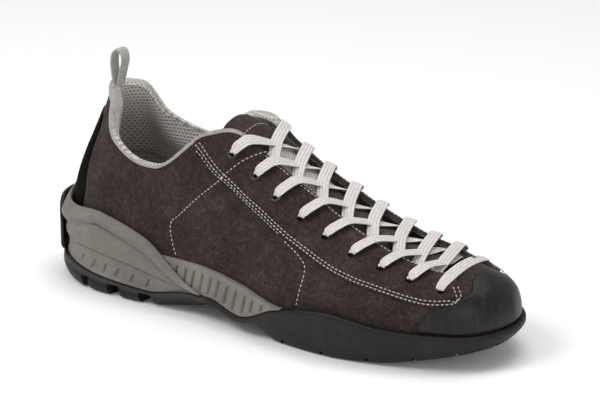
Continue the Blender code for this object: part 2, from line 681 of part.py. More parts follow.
def lace_path(row, side, over):
    """From the lace hole, over this side's edge, across the tongue and under the other edge."""
    s, distance = EYELETS[row]
    half = LACE_THICKNESS / 2
    on_top = OVERLAY_GAP + OVERLAY + 0.45 + half
    below = -(WALL + TONGUE_GAP / 2)
    clear = EYELET_RING + 1.2 if row < EYELET_ROWS else 0.0
    first = s + LACE_OVER_EDGE * clear / distance
    share = share_from_edge(section(first), side, distance - clear)
    start = wall_point(first, side, share, on_top + 0.4)
    edge = wall_point(s + LACE_OVER_EDGE, side, 1.0, on_top + 1.2)
    end = LACE_TUCKS[row]
    far = wall_point(end - 1.5, -side, 1.0, below)
    tuck = wall_point(end, -side, share_from_edge(section(end), -side, 4.0), below)
    lift = half + LACE_LIFT + (0.9 * LACE_THICKNESS if over else 0)
    crown = tongue_ring(s + LACE_CROSSING)[4] + Vector((0, 0, lift))
    ups = [
        surface_frame(first, side, share, 0)[3], surface_frame(s + LACE_OVER_EDGE, side, 0.98, 0)[3],
        Vector((0.3, 0, 1)), surface_frame(end, -side, 0.98, 0)[3], surface_frame(end, -side, 0.95, 0)[3],
    ]
    return [start, edge, crown, far, tuck], ups


def make_laces(parent):
    per_span = 2
    for row in range(len(EYELETS) - 1):
        straps = []
        for side, over in ((LATERAL, False), (MEDIAL, True)):
            points, ups = lace_path(row, side, over)
            path = smooth_path(points, per_span)
            turning = smooth_path(ups, per_span)
            straps.append(strap(path, turning, LACE_WIDTH, LACE_THICKNESS))
        crossing = new_object(f"lace_crossing_{row + 1}", straps[0], "lace", parent)
        upper_strap = new_object(f"lace_over_{row + 1}", straps[1], "lace", parent)
        upper_strap.hide_render = True
        upper_strap.display_type = "WIRE"
        join = crossing.modifiers.new("join", "BOOLEAN")
        join.operation = "UNION"
        join.object = upper_strap
    s, distance = EYELETS[-1]
    on_top = OVERLAY_GAP + OVERLAY + 0.65 + LACE_THICKNESS / 2
    share = {side: share_from_edge(section(s), side, distance) for side in (LATERAL, MEDIAL)}
    left, right = (wall_point(s, side, share[side], on_top) for side in (LATERAL, MEDIAL))
    tilts = [surface_frame(s, side, share[side], 0)[3] for side in (LATERAL, MEDIAL)]
    path, ups = [], []
    for u in spread(0, 1, 9):
        path.append(left.lerp(right, u) + Vector((0, 0, TOE_BAR_BOW * (1 - abs(2 * u - 1) ** 2.4))))
        ups.append(tilts[0].lerp(tilts[1], u))
    new_object("lace_toe_bar", strap(path, ups, LACE_WIDTH, LACE_THICKNESS), "lace", parent)


def make_eyelets(parent):
    profile = (
        (EYELET_HOLE, 0), (EYELET_RING, 0), (EYELET_RING * 0.85, EYELET_HEIGHT),
        (EYELET_HOLE, EYELET_HEIGHT * 0.8),
    )
    sides = 8
    for row, s, side, share in eyelet_places():
        if row >= EYELET_ROWS:
            continue
        centre, ahead, upward, outward = surface_frame(s, side, share, OVERLAY_GAP + OVERLAY + SEAT_GAP)
        rings = []
        for k in range(sides):
            angle = 2 * math.pi * k / sides
            spoke = ahead * math.cos(angle) + upward * math.sin(angle)
            rings.append([centre + spoke * r + outward * h for r, h in profile])
        new_object(f"eyelet_{SIDE_NAME[side]}_{row + 1}", sweep(rings, closed=True), "eyelet", parent)


def make_pull_loop(parent):
    base = wall_point(0.0, LATERAL, 1.0, -WALL - 1) + Vector((0, 0, PAD_RISE - 0.1))
    path = smooth_path([base + Vector((ahead, 0, up)) for ahead, up in LOOP_PLACES], 3)
    rings = []
    across = Vector((0, 1, 0))
    for i, p in enumerate(path):
        ahead = (path[min(i + 1, len(path) - 1)] - path[max(i - 1, 0)]).normalized()
        out = ahead.cross(across)
        half, thick = LOOP_WIDTH / 2, LOOP_THICKNESS / 2
        corners = ((-half, -thick), (-half, thick), (half, thick), (half, -thick))
        rings.append([p + across * a + out * b for a, b in corners])
    return new_object("pull_loop", sweep(rings), "webbing", parent)


def centre_on_origin(shoe):
    """Moves the shoe so that the middle of its plan is over the origin."""
    corners = [v.co for obj in shoe.children if not obj.hide_render for v in obj.data.vertices]
    xs, ys = [p.x for p in corners], [p.y for p in corners]
    shoe.location = (-(min(xs) + max(xs)) / 2, -(min(ys) + max(ys)) / 2, 0)


def main():
    for obj in list(bpy.data.objects):
        bpy.data.objects.remove(obj)
    shoe = bpy.data.objects.new("shoe", None)
    bpy.context.scene.collection.objects.link(shoe)
    make_outsole(shoe)
    make_midsole(shoe)
    make_heel_cup(shoe)
    make_heel_tab(shoe)
    make_insole(shoe)
    make_upper(shoe)
    make_toe_cap(shoe)
    make_backstay(shoe)
    for side in (LATERAL, MEDIAL):
        make_eyestay(side, shoe)
    make_collar_pad(shoe)
    make_tongue(shoe)
    make_laces(shoe)
    make_eyelets(shoe)
    make_pull_loop(shoe)
    centre_on_origin(shoe)


main()
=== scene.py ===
# %% [markdown]
# # A low approach shoe for the right foot
#
# The imported solids already have the size and the last of the shoe. This lesson gives them their
# finish: suede with its seams, a moulded sole, a padded collar and a woven lace. The frame is loaded
# first, because every piece takes its place from it.

# %% Load the frame
import math
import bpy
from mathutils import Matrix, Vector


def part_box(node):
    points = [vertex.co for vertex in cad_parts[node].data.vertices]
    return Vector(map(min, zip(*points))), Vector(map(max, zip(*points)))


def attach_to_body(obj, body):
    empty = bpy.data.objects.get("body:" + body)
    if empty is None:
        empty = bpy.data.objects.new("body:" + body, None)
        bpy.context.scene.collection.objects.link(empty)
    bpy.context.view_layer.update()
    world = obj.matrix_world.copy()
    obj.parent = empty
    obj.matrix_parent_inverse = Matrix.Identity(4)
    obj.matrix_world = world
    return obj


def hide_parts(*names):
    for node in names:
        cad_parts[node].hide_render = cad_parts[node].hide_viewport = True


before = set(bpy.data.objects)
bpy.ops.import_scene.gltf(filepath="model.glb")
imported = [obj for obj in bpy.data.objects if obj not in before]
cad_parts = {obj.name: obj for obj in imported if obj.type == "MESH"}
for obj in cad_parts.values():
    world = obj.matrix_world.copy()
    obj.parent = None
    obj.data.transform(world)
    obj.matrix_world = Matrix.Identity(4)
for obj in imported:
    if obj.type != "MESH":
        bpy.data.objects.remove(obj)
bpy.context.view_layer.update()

from types import SimpleNamespace

import bmesh
import bpy
import numpy as np
from mathutils import Vector

MM = 0.001

# %% [markdown]
# ## The last
#
# A shoe is pulled over a last, so all its skins share one family of sections. Each section is a
# vertical plane that turns round the heel and the toe. Its wall is one cubic curve from the feather
# line, where upper and sole meet, to the edge of collar and throat. The solids use the same table,
# so a dense skin made from it lies where the solid lies. A subdivided copy of the solid would keep
# its facets, which is why the skins are swept again here. Only the scene lowers the outer collar a
# little at the ankle and lets the inner side fall more steeply behind the throat.

# %% The table of the last, in millimetres
LATERAL, MEDIAL = -1, 1
LAST_COLUMNS = (
    "x", "y", "turn", "feather_lat", "feather_med", "feather_z", "rise", "flare_lat", "flare_med",
    "edge_lat", "edge_med", "edge_z_lat", "edge_z_med", "reach", "drop",
)
LAST_ROWS = {
    "heel_back":   (34, 0, 180, 34, 34, 27, 34, 6, 6, 12.8, 12.8, 113, 113, 8, 25),
    "heel_corner": (36, 0, 137, 34, 34, 27, 33, 5, 5, 12, 17.5, 107, 111.5, 6.5, 24),
    "heel_side":   (46, 0, 100, 33.5, 33.5, 27, 31, 4, 4, 25, 24.5, 90, 94, 5, 22),
    "ankle":       (72, 0, 90, 34, 32.5, 26, 28, 3, 3, 28, 26, 80.5, 85.5, 4, 20),
    "instep":      (104, 0.5, 90, 36.5, 30.5, 25, 26, 3, 5, 22, 20.5, 103, 104, 8, 16),
    "eyestay_top": (118, 1, 90, 39, 30, 24, 26, 3, 6, 18, 16, 106, 106, 12, 14),
    "waist":       (140, 2, 90, 43, 32, 23, 26, 3, 6, 15.5, 13, 94, 94, 16, 12),
    "vamp":        (168, 4, 90, 49, 37, 22, 24, 3, 5, 15.5, 12, 77.5, 77.5, 19, 10),
    "ball":        (198, 6, 90, 52, 41.5, 21, 19.2, 3, 4, 18, 12.5, 62.4, 62.9, 19.2, 8.2),
    "forefoot":    (224, 7, 88, 48, 42, 21, 17.8, 3, 3, 20, 12.5, 53.5, 54.4, 18.2, 6),
    "toe_side":    (239, 8, 74, 42.5, 38, 19.6, 18.6, 2, 2, 20.5, 12.5, 49.3, 50.4, 15.2, 4.2),
    "toe_corner":  (245, 8.5, 42, 38, 34.5, 19, 20, 2, 2, 14.5, 11, 48.1, 48.5, 14.6, 3.9),
    "toe_tip":     (247, 9, 0, 35, 35, 19.2, 19.8, 2, 2, 8, 8, 48, 48, 15, 4),
}
SOLE_COLUMNS = (
    "tread_out", "tread_z", "tread_mid_z", "outsole_out", "outsole_z", "midsole_out", "midsole_z",
    "cup_z", "cup_wall",
)
SOLE_ROWS = {
    "heel_back":   (5, 9, 0, 9, 20, 2.4, 29, 57, 3.4),
    "heel_corner": (4, 3, 0, 7.5, 15, 2.4, 29, 52, 3.4),
    "heel_side":   (2.5, 0, 0, 6.2, 10, 2.4, 30, 48.7, 3.4),
    "ankle":       (1, 0, 0, 5.6, 8.5, 2.8, 31, 39.5, 2.8),
    "instep":      (-3, 4.5, 6, 4.8, 14.5, 3.4, 32, 18.5, 1.4),
    "eyestay_top": (-3.5, 8.5, 10, 4.6, 15, 4, 31.5, 15, 0.8),
    "waist":       (-3, 6.5, 8, 4.6, 10.5, 4.5, 28.5, 12, 0.8),
    "vamp":        (-1, 0, 0, 4.6, 21.5, 4.5, 22.5, 22, 0.8),
    "ball":        (-0.5, 0, 0, 4.6, 27, 4.5, 27, 27, 0.8),
    "forefoot":    (-0.5, 1, 1, 4.6, 23, 4.5, 23, 24, 0.8),
    "toe_side":    (-1, 5, 3.5, 4.2, 21.4, 4, 22, 22, 0.8),
    "toe_corner":  (-1, 9, 5, 3.8, 20.7, 4, 21, 21, 0.8),
    "toe_tip":     (-1, 11, 5.5, 3.8, 21, 4, 21, 21, 0.8),
}
HUMP = (43.0, 9.0, 5.8)     # rise of the inner collar beside the heel: station, reach, height
DIP = (71.0, 13.0, 2.2)     # fall of the outer collar below the ankle, the same way
print("last:", len(LAST_ROWS), "sections")


# %% Smooth columns between the rows
def monotone(places, values, where):
    """Cubic through the values that never overshoots them."""
    places, values, where = (np.asarray(v, float) for v in (places, values, where))
    steps = np.diff(places)
    slopes = np.diff(values) / steps
    tangents = np.zeros(len(values))
    tangents[0], tangents[-1] = slopes[0], slopes[-1]
    for i in range(1, len(values) - 1):
        if slopes[i - 1] * slopes[i] > 0:
            before, after = 2 * steps[i] + steps[i - 1], steps[i] + 2 * steps[i - 1]
            tangents[i] = (before + after) / (before / slopes[i - 1] + after / slopes[i])
    i = np.clip(np.searchsorted(places, where, side="right") - 1, 0, len(steps) - 1)
    u = (where - places[i]) / steps[i]
    return (
        (2 * u**3 - 3 * u**2 + 1) * values[i]
        + (u**3 - 2 * u**2 + u) * steps[i] * tangents[i]
        + (3 * u**2 - 2 * u**3) * values[i + 1]
        + (u**3 - u**2) * steps[i] * tangents[i + 1]
    )


def between(rows, stations):
    """Straight between rows of (station, value)."""
    return np.interp(stations, *zip(*rows))


def column(name):
    table, columns = (LAST_ROWS, LAST_COLUMNS) if name in LAST_COLUMNS else (SOLE_ROWS, SOLE_COLUMNS)
    return np.array([row[columns.index(name)] for row in table.values()], float)


def feather_stations():
    """Distance along the outer feather line from the heel's back to each row."""
    turn = np.radians(column("turn"))
    along = column("x") + column("feather_lat") * np.cos(turn)
    across = column("y") - column("feather_lat") * np.sin(turn)
    return np.concatenate([[0.0], np.cumsum(np.hypot(np.diff(along), np.diff(across)))])


STATIONS = feather_stations()
TOE = float(STATIONS[-1])
STEEP_MED = (           # station, how much more the inner side drops behind the throat's edge
    (195, 0), (225, 4.5), (268, 7.5), (298, 6), (TOE, 0),
)
TABLE = {name: column(name) for name in LAST_COLUMNS + SOLE_COLUMNS}
SIDED = ("feather", "flare", "edge", "edge_z")
TOE_FRONT = TABLE["x"][-1] + TABLE["feather_lat"][-1] + TABLE["outsole_out"][-1]
SHIFT = np.array([
    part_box("outsole")[1].x / MM - TOE_FRONT,
    (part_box("pull_loop")[0].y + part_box("pull_loop")[1].y) / 2 / MM,
    0.0,
])
print("feather line to the toe:", round(TOE, 1), "mm, moved by", SHIFT.round(2))


# %% Points on the last
def sections(stations, sides):
    """Every column at these stations, as upright arrays that shares of the wall run across."""
    stations = np.asarray(stations, float).reshape(-1, 1)
    sides = np.broadcast_to(np.asarray(sides, float).reshape(-1, 1), stations.shape)
    found = {name: monotone(STATIONS, values, stations) for name, values in TABLE.items()}
    at, reach, height = HUMP
    found["edge_z_med"] = found["edge_z_med"] + height * np.exp(-(((stations - at) / reach) ** 2))
    at, reach, height = DIP
    found["edge_z_lat"] = found["edge_z_lat"] - height * np.exp(-(((stations - at) / reach) ** 2))
    found["drop"] = found["drop"] + np.where(sides > 0, between(STEEP_MED, stations), 0.0)
    for name in SIDED:
        found[name] = np.where(sides < 0, found.pop(name + "_lat"), found.pop(name + "_med"))
    return SimpleNamespace(station=stations, side=sides, **found)


def place(sec, out, up):
    """Points that lie this far out from each section's spine and this high."""
    turn = np.radians(sec.turn)
    flat = np.broadcast_arrays(sec.x + out * np.cos(turn), sec.y + sec.side * out * np.sin(turn), up)
    return np.stack(flat, axis=-1) + SHIFT


def wall(sec, share, offset=0.0):
    """(out, up) of the upper's outer face from feather line (0) to edge (1), moved out by offset."""
    outs = (sec.feather, sec.feather + sec.flare, sec.edge + sec.reach, sec.edge)
    ups = (sec.feather_z, sec.feather_z + sec.rise, sec.edge_z - sec.drop, sec.edge_z)
    t, k = share, 1 - share
    weights = (k**3, 3 * t * k * k, 3 * t * t * k, t**3)
    slopes = (-3 * k * k, 3 * k * k - 6 * t * k, 6 * t * k - 3 * t * t, 3 * t * t)
    out, up = (sum(w * p for w, p in zip(weights, ps)) for ps in (outs, ups))
    d_out, d_up = (sum(w * p for w, p in zip(slopes, ps)) for ps in (outs, ups))
    length = np.hypot(d_out, d_up)
    return out + offset * d_up / length, up - offset * d_out / length


def skin(sec, share, offset=0.0):
    return place(sec, *wall(sec, share, offset))


def spot(station, side, share, offset=0.0):
    """One point on the wall."""
    return skin(sections([station], side), np.array([[share]]), offset)[0, 0]


def share_at(sec, up):
    """Share of the wall at this height."""
    low, high = np.zeros(np.broadcast(sec.x, up).shape), np.ones(np.broadcast(sec.x, up).shape)
    for _ in range(26):
        middle = (low + high) / 2
        below = wall(sec, middle)[1] < up
        low, high = np.where(below, middle, low), np.where(below, high, middle)
    return (low + high) / 2


def share_from_edge(sec, distance):
    """Share of the wall this far below its top edge, measured along the wall."""
    shares = np.linspace(1, 0, 81)
    out, up = wall(sec, shares)
    steps = np.hypot(np.diff(out, axis=1), np.diff(up, axis=1))
    run = np.concatenate([np.zeros((len(out), 1)), np.cumsum(steps, axis=1)], axis=1)
    distances = np.broadcast_to(np.asarray(distance, float).reshape(-1, 1), (len(out), 1))[:, 0]
    return np.array([[np.interp(d, r, shares)] for d, r in zip(distances, run)])


def outer_at(sec, up):
    """How far out the upper's outer face is at this height, or its feather line below that."""
    return np.where(up <= sec.feather_z, sec.feather, wall(sec, share_at(sec, up))[0])


def heel_trip(start, step):
    """Sections from the outer side's start, round the heel's back, to the inner side's start."""
    run = np.linspace(-start, start, 2 * int(start / step) + 1)
    return sections(np.abs(run), np.where(run < 0, LATERAL, MEDIAL))


def toe_trip(start, step):
    """Sections from the outer side's start, round the toe, to the inner side's start."""
    run = np.linspace(start, 2 * TOE - start, 2 * int((TOE - start) / step) + 1)
    return sections(np.minimum(run, 2 * TOE - run), np.where(run <= TOE, LATERAL, MEDIAL))


print("collar height at the heel:", spot(0, LATERAL, 1.0)[2].round(1), "mm")

# %% [markdown]
# ## Meshes from rings
#
# Skins, straps and soles are all swept: a closed ring of points is repeated along a path. One helper
# builds every such mesh, welds it, turns its faces outwards and keeps an optional UV map in
# millimetres, which woven finishes need because their threads follow the piece.

# %% Helpers for meshes
WELD = 2e-6             # points closer than this, in metres, become one


def linked(name, data):
    """A new object for this data, in the scene."""
    obj = bpy.data.objects.new(name, data)
    bpy.context.scene.collection.objects.link(obj)
    return obj


def new_piece(name, points, faces, finishes, uv=None, finish_of_face=None):
    """A mesh object at the origin: points in millimetres, its place in the mesh."""
    mesh = bpy.data.meshes.new(name)
    mesh.from_pydata((np.asarray(points) * MM).tolist(), [], [list(f) for f in faces])
    for finish in finishes:
        mesh.materials.append(finish)
    if uv is not None:
        layer = mesh.uv_layers.new(name="thread_uv")
        corners = np.zeros(len(mesh.loops), int)
        mesh.loops.foreach_get("vertex_index", corners)
        layer.data.foreach_set("uv", np.asarray(uv, float)[corners].ravel())
    if finish_of_face is not None:
        mesh.polygons.foreach_set("material_index", np.asarray(finish_of_face, int))
    bm = bmesh.new()
    bm.from_mesh(mesh)
    bmesh.ops.remove_doubles(bm, verts=bm.verts, dist=WELD)
    bmesh.ops.dissolve_degenerate(bm, edges=bm.edges, dist=WELD)
    bmesh.ops.recalc_face_normals(bm, faces=bm.faces)
    bm.to_mesh(mesh)
    bm.free()
    mesh.shade_smooth()
    return linked(name, mesh)


def ring_faces(count, size, closed):
    """Quads between rings of this size, with caps where the path is open."""
    ring = np.arange(size)
    first = np.arange(count if closed else count - 1)[:, None] * size
    after = ((first // size + 1) % count) * size
    quads = np.stack([first + ring, first + (ring + 1) % size, after + (ring + 1) % size, after + ring], -1)
    faces = quads.reshape(-1, 4).tolist()
    return faces if closed else faces + [ring.tolist(), ((count - 1) * size + ring[::-1]).tolist()]


def swept(name, rings, finishes, closed=False, uv=None, second=None):
    """A closed body through rings (path, ring, xyz). second numbers the finish of each point."""
    count, size = rings.shape[:2]
    faces = ring_faces(count, size, closed)
    marks = None
    if second is not None:
        both = np.minimum(second, np.roll(second, -1, axis=-1)).astype(int)
        quads = np.broadcast_to(both, (count, size))[:count if closed else count - 1]
        marks = np.concatenate([quads.ravel(), np.zeros(len(faces) - quads.size, int)])
    flat_uv = None if uv is None else uv.reshape(-1, 2)
    return new_piece(name, rings.reshape(-1, 3), faces, finishes, flat_uv, marks)


def rolled(count, length, radius):
    """How far a sheet's outer face has risen, 0 to 1, from its lower to its upper rounded edge."""
    run = np.linspace(0, 1, count) * length
    near = np.clip(np.minimum(run, length - run) / radius, 0, 1)
    return np.sqrt(1 - (1 - near) ** 2)


def curve_through(points, count):
    """Catmull-Rom curve through points (along, ..., xyz), sampled evenly between them."""
    points = np.asarray(points, float)
    ends = np.concatenate([[2 * points[0] - points[1]], points, [2 * points[-1] - points[-2]]])
    where = np.linspace(0, len(points) - 1, count)
    i = np.clip(where.astype(int), 0, len(points) - 2)
    u = (where - i).reshape((-1,) + (1,) * (points.ndim - 1))
    a, b, c, d = (ends[i + k] for k in range(4))
    square, cube = 2 * a - 5 * b + 4 * c - d, 3 * b - a - 3 * c + d
    return 0.5 * (2 * b + (c - a) * u + square * u**2 + cube * u**3)


def run_along(points):
    """Distance along a line of points, from its first to each of them."""
    return np.concatenate([[0], np.cumsum(np.linalg.norm(np.diff(points, axis=0), axis=1))])


def unit(vectors):
    return vectors / np.linalg.norm(vectors, axis=-1, keepdims=True)


def attach(piece, slot, *nodes):
    """The piece rides on the one body and stands for its solids. The slot is not used."""
    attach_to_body(piece, "root")
    if nodes:
        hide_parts(*nodes)
    triangles = sum(len(p.vertices) - 2 for p in piece.data.polygons)
    print(piece.name, "has", triangles, "triangles")
    return piece


print("mesh helpers ready")


# %% Helper for node trees
def node(tree, kind, inputs=None, **settings):
    """Adds a node, sets its properties, and joins or sets its inputs."""
    made = tree.nodes.new(kind)
    for key, value in settings.items():
        setattr(made, key, value)
    for key, value in (inputs or {}).items():
        if isinstance(value, bpy.types.NodeSocket):
            tree.links.new(value, made.inputs[key])
        else:
            made.inputs[key].default_value = value
    return made


def finish_base(name, roughness, **sockets):
    """A new material: its tree, its Principled shader and its Object coordinates."""
    made = bpy.data.materials.new(name)
    made.use_nodes = True
    tree = made.node_tree
    shader = tree.nodes["Principled BSDF"]
    shader.inputs["Roughness"].default_value = roughness
    for key, value in sockets.items():
        shader.inputs[key.replace("_", " ")].default_value = value
    return made, tree, shader, node(tree, "ShaderNodeTexCoord")


def noise(tree, vector, scale, detail=3.0, roughness=0.55):
    inputs = {"Vector": vector, "Scale": scale, "Detail": detail, "Roughness": roughness}
    return node(tree, "ShaderNodeTexNoise", inputs).outputs["Fac"]


def maths(tree, operation, *values):
    return node(tree, "ShaderNodeMath", dict(enumerate(values)), operation=operation).outputs[0]


def sum_of(tree, *weighted):
    """Weighted sum of values: pairs of (socket, weight)."""
    total = None
    for socket, weight in weighted:
        part = maths(tree, "MULTIPLY", socket, weight)
        total = part if total is None else maths(tree, "ADD", total, part)
    return total


def ramp(tree, value, *stops):
    """Colour ramp: stops are (position, (r, g, b))."""
    made = node(tree, "ShaderNodeValToRGB", {"Fac": value})
    band = made.color_ramp
    while len(band.elements) < len(stops):
        band.elements.new(0.5)
    for element, (position, colour) in zip(band.elements, stops):
        element.position = position
        element.color = (*colour, 1)
    return made.outputs["Color"]


def colour_from(tree, shader, value, *stops):
    tree.links.new(ramp(tree, value, *stops), shader.inputs["Base Color"])


def bump(tree, shader, height, strength, distance):
    inputs = {"Height": height, "Strength": strength, "Distance": distance}
    tree.links.new(node(tree, "ShaderNodeBump", inputs).outputs["Normal"], shader.inputs["Normal"])


def rough_from(tree, shader, value, low, high):
    inputs = {"Value": value, "To Min": low, "To Max": high}
    mapped = node(tree, "ShaderNodeMapRange", inputs)
    tree.links.new(mapped.outputs["Result"], shader.inputs["Roughness"])


print("node helpers ready")

# %% [markdown]
# ## Camera, light and floor
#
# The shoe is seen from its outer side, a little from the front and above, through a long lens. The
# camera comes first. A pale floor, a wide soft light above and a bright surround give the soft
# contact shadow of a product picture.

# %% Camera
IMAGE_WIDTH, IMAGE_HEIGHT = 600, 416
AZIMUTH, ELEVATION = math.radians(34), math.radians(20)
AIM = Vector(np.array([148.0, 0.0, 45.0]) + SHIFT) * MM
AIM_PIXEL = (296, 237)
DISTANCE, LENS = 1.4, 151.2

back = Vector((
    math.sin(AZIMUTH) * math.cos(ELEVATION), -math.cos(AZIMUTH) * math.cos(ELEVATION), math.sin(ELEVATION)
))
camera = linked("camera", bpy.data.cameras.new("camera"))
camera.data.lens = LENS
camera.data.shift_x = (IMAGE_WIDTH / 2 - AIM_PIXEL[0]) / IMAGE_WIDTH
camera.data.shift_y = (AIM_PIXEL[1] - IMAGE_HEIGHT / 2) / IMAGE_WIDTH
camera.location = AIM + back * DISTANCE
camera.rotation_euler = (-back).to_track_quat("-Z", "Y").to_euler()
bpy.context.scene.camera = camera
print("camera at", tuple(round(v, 3) for v in camera.location))


# %% Light and floor
def area_light(name, spot_at, aim, size, power):
    light = bpy.data.lights.new(name, "AREA")
    light.energy = power
    light.shape = "DISK"
    light.size = size
    obj = linked(name, light)
    obj.location = spot_at
    obj.rotation_euler = (Vector(aim) - Vector(spot_at)).to_track_quat("-Z", "Y").to_euler()


area_light("key_light", (-0.55, -0.75, 1.15), (0, 0, 0.05), 0.7, 9)
area_light("top_light", (0.1, 0.3, 1.5), (0, 0, 0.05), 1.2, 10)
area_light("front_light", (1.2, -0.6, 0.5), (0.05, 0, 0.05), 0.6, 2.5)

world = bpy.data.worlds.new("studio")
world.use_nodes = True
world.node_tree.nodes["Background"].inputs["Color"].default_value = (1, 1, 1, 1)
world.node_tree.nodes["Background"].inputs["Strength"].default_value = 0.42
bpy.context.scene.world = world
bpy.context.scene.view_settings.view_transform = "Standard"

FLOOR_HALF = 4000       # millimetres
floor_finish, _, floor_shader, _ = finish_base("pale_floor", 0.9)
floor_shader.inputs["Base Color"].default_value = (0.99, 0.985, 0.98, 1)
floor_shader.inputs["Emission Color"].default_value = (1, 1, 1, 1)
floor_shader.inputs["Emission Strength"].default_value = 0.03
floor_corners = [(-1, -1, 0), (1, -1, 0), (1, 1, 0), (-1, 1, 0)]
floor = new_piece("floor", np.array(floor_corners) * FLOOR_HALF, [(0, 1, 2, 3)], [floor_finish])

# %% [markdown]
# ## Suede
#
# Suede is leather split and brushed until short fibres stand up. It has no gloss, a mottled colour
# where the nap lies one way or the other, and light specks at the fibre tips. Three noises of
# different grain are mixed on Object coordinates, so seams and panels can be told apart only by
# their edges, as on the real hide. Sheen gives the soft rim that fibres catch.

# %% Suede finish
def suede_finish(name, dark, middle, light):
    made, tree, shader, at = finish_base(name, 0.92, Sheen_Weight=0.12, Sheen_Roughness=0.5)
    shader.inputs["Sheen Tint"].default_value = (0.62, 0.55, 0.53, 1)
    shader.inputs["Specular IOR Level"].default_value = 0.15
    cloud = noise(tree, at.outputs["Object"], 55, 3)
    nap = noise(tree, at.outputs["Object"], 330, 4, 0.65)
    fibre = noise(tree, at.outputs["Object"], 1500, 2, 0.7)
    value = sum_of(tree, (cloud, 0.18), (nap, 0.34), (fibre, 0.48))
    colour_from(tree, shader, value, (0.36, dark), (0.50, middle), (0.66, light))
    bump(tree, shader, sum_of(tree, (nap, 0.5), (fibre, 0.5)), 0.45, 0.0007)
    return made


SUEDE = suede_finish("brown_suede", (0.013, 0.009, 0.008), (0.032, 0.022, 0.021), (0.085, 0.064, 0.061))
# A paler copy of the suede for the tongue: painted light, the tongue lit where the light falls between the
# laces.
LIT_TONGUE_SUEDE = suede_finish(
    "lit_tongue_suede", (0.026, 0.020, 0.019), (0.055, 0.045, 0.043), (0.12, 0.105, 0.10)
)
print("finishes:", SUEDE.name, LIT_TONGUE_SUEDE.name)

# %% [markdown]
# ## Where the seams run
#
# The outer side is sewn from few panels. A broad eyestay follows the throat with a double row of
# stitches and a third row beside them at its back. One row drops from it to the sole, and another
# curves from the throat down to the arch. Each seam is a short list of places on the last: the
# station along the feather line and either the share of the wall or the distance below the throat's
# edge. The inner side has the same panels.

# %% Seams as places on the last
SEAM_ROW = (            # middle row of the eyestay's seam: station, distance below the throat's edge
    (113.5, 2.5), (116, 5.9), (120, 11), (124, 16), (128, 20.5), (133, 24.8), (137, 26.9), (143, 28.2),
    (150, 28.8), (164, 29.2), (175, 30.2), (185, 31), (197, 30.9), (212, 30.4), (226, 29), (239, 26.8),
    (253, 25.1), (265, 23.9), (278, 22.8), (286, 22.4),
)
SEAM_FRONT = ((289.5, 0.53), (288.5, 0.67))                 # where the middle row turns up: station, share
INNER_FRONT = ((287, 0.45), (287, 0.54), (285.5, 0.67))     # the same for the row inside it
CAP_EDGE = (            # edge of the toe cap: station, share of the wall
    (262, 0.0), (271, 0.24), (281, 0.385), (290, 0.49), (297, 0.585), (302, 0.78), (314, 0.86), (325, 0.82),
)
QUARTER_SEAM = (        # station, share of the wall
    (154, 1.0), (148, 0.863), (137.3, 0.669), (133.6, 0.625), (123.4, 0.537), (108.1, 0.40),
    (104.4, 0.369), (103.5, 0.319), (104.9, 0.20), (107.2, 0.113),
)
DROP_SEAM = (           # where the outer row leaves the eyestay: station, share of the wall
    (182, 0.51), (192, 0.47), (197, 0.42), (198, 0.35), (197, 0.18), (196, 0.08),
)
ROW_GAP = 1.8           # between neighbouring rows of stitches
EYESTAY_CUT = 0.95      # the eyestay's cut edge, past the middle row
CUT_FOLD = 0.3          # from that edge to the middle of the fold beside it
THROAT_ROW = 1.5        # row of stitches below the throat's edge
MIDDLE_SPAN, INNER_SPAN, THIRD_SPAN = (115, 286), (117, 284), (115, 176)    # stations of each row's ends
CUT_SPAN, THROAT_SPAN = (115, 287), (156, 284)


def beside_row(offset):
    """(station, distance below the edge) along the eyestay's seam, moved away from the throat."""
    stations = np.linspace(SEAM_ROW[0][0], SEAM_ROW[-1][0], 200)
    line = np.stack([stations, monotone(*zip(*SEAM_ROW), stations)], axis=1)
    heading = unit(np.gradient(line, axis=0))
    return line + offset * np.stack([-heading[:, 1], heading[:, 0]], axis=1)


def eyestay_width(stations):
    return np.interp(stations, *beside_row(EYESTAY_CUT).T)


def along_wall(rows, side, count=160):
    """Evenly spaced (station, share) along a smooth line through rows of (station, share)."""
    rows = np.array(rows, float)
    run = run_along(np.array([spot(s, side, t) for s, t in rows]))
    where = np.linspace(0, run[-1], count)
    return np.stack([monotone(run, rows[:, 0], where), monotone(run, rows[:, 1], where)], axis=1)


def below_edge(stations, distances, side):
    """(station, share) at these distances below the throat's edge."""
    sec = sections(stations, side)
    return np.concatenate([sec.station, share_from_edge(sec, distances)], axis=1)


def on_wall(places, side, offset):
    """Points at (station, share) places, one section for each."""
    return skin(sections(places[:, 0], side), places[:, 1:2], offset)[:, 0]


def eyestay_row(side, offset, span, front=()):
    """(station, share) of a row beside the eyestay's seam, with the turn at its front end."""
    line = beside_row(offset)
    line = line[(line[:, 0] >= span[0]) & (line[:, 0] <= span[1])]
    row = below_edge(line[:, 0], line[:, 1], side)
    return np.concatenate([row, curve_through([row[-1], *front], 30)[1:]]) if front else row


def throat_row(side):
    stations = np.linspace(*THROAT_SPAN, 140)
    return below_edge(stations, np.full_like(stations, THROAT_ROW), side)


print("quarter seam:", len(QUARTER_SEAM), "places; eyestay:", len(SEAM_ROW))
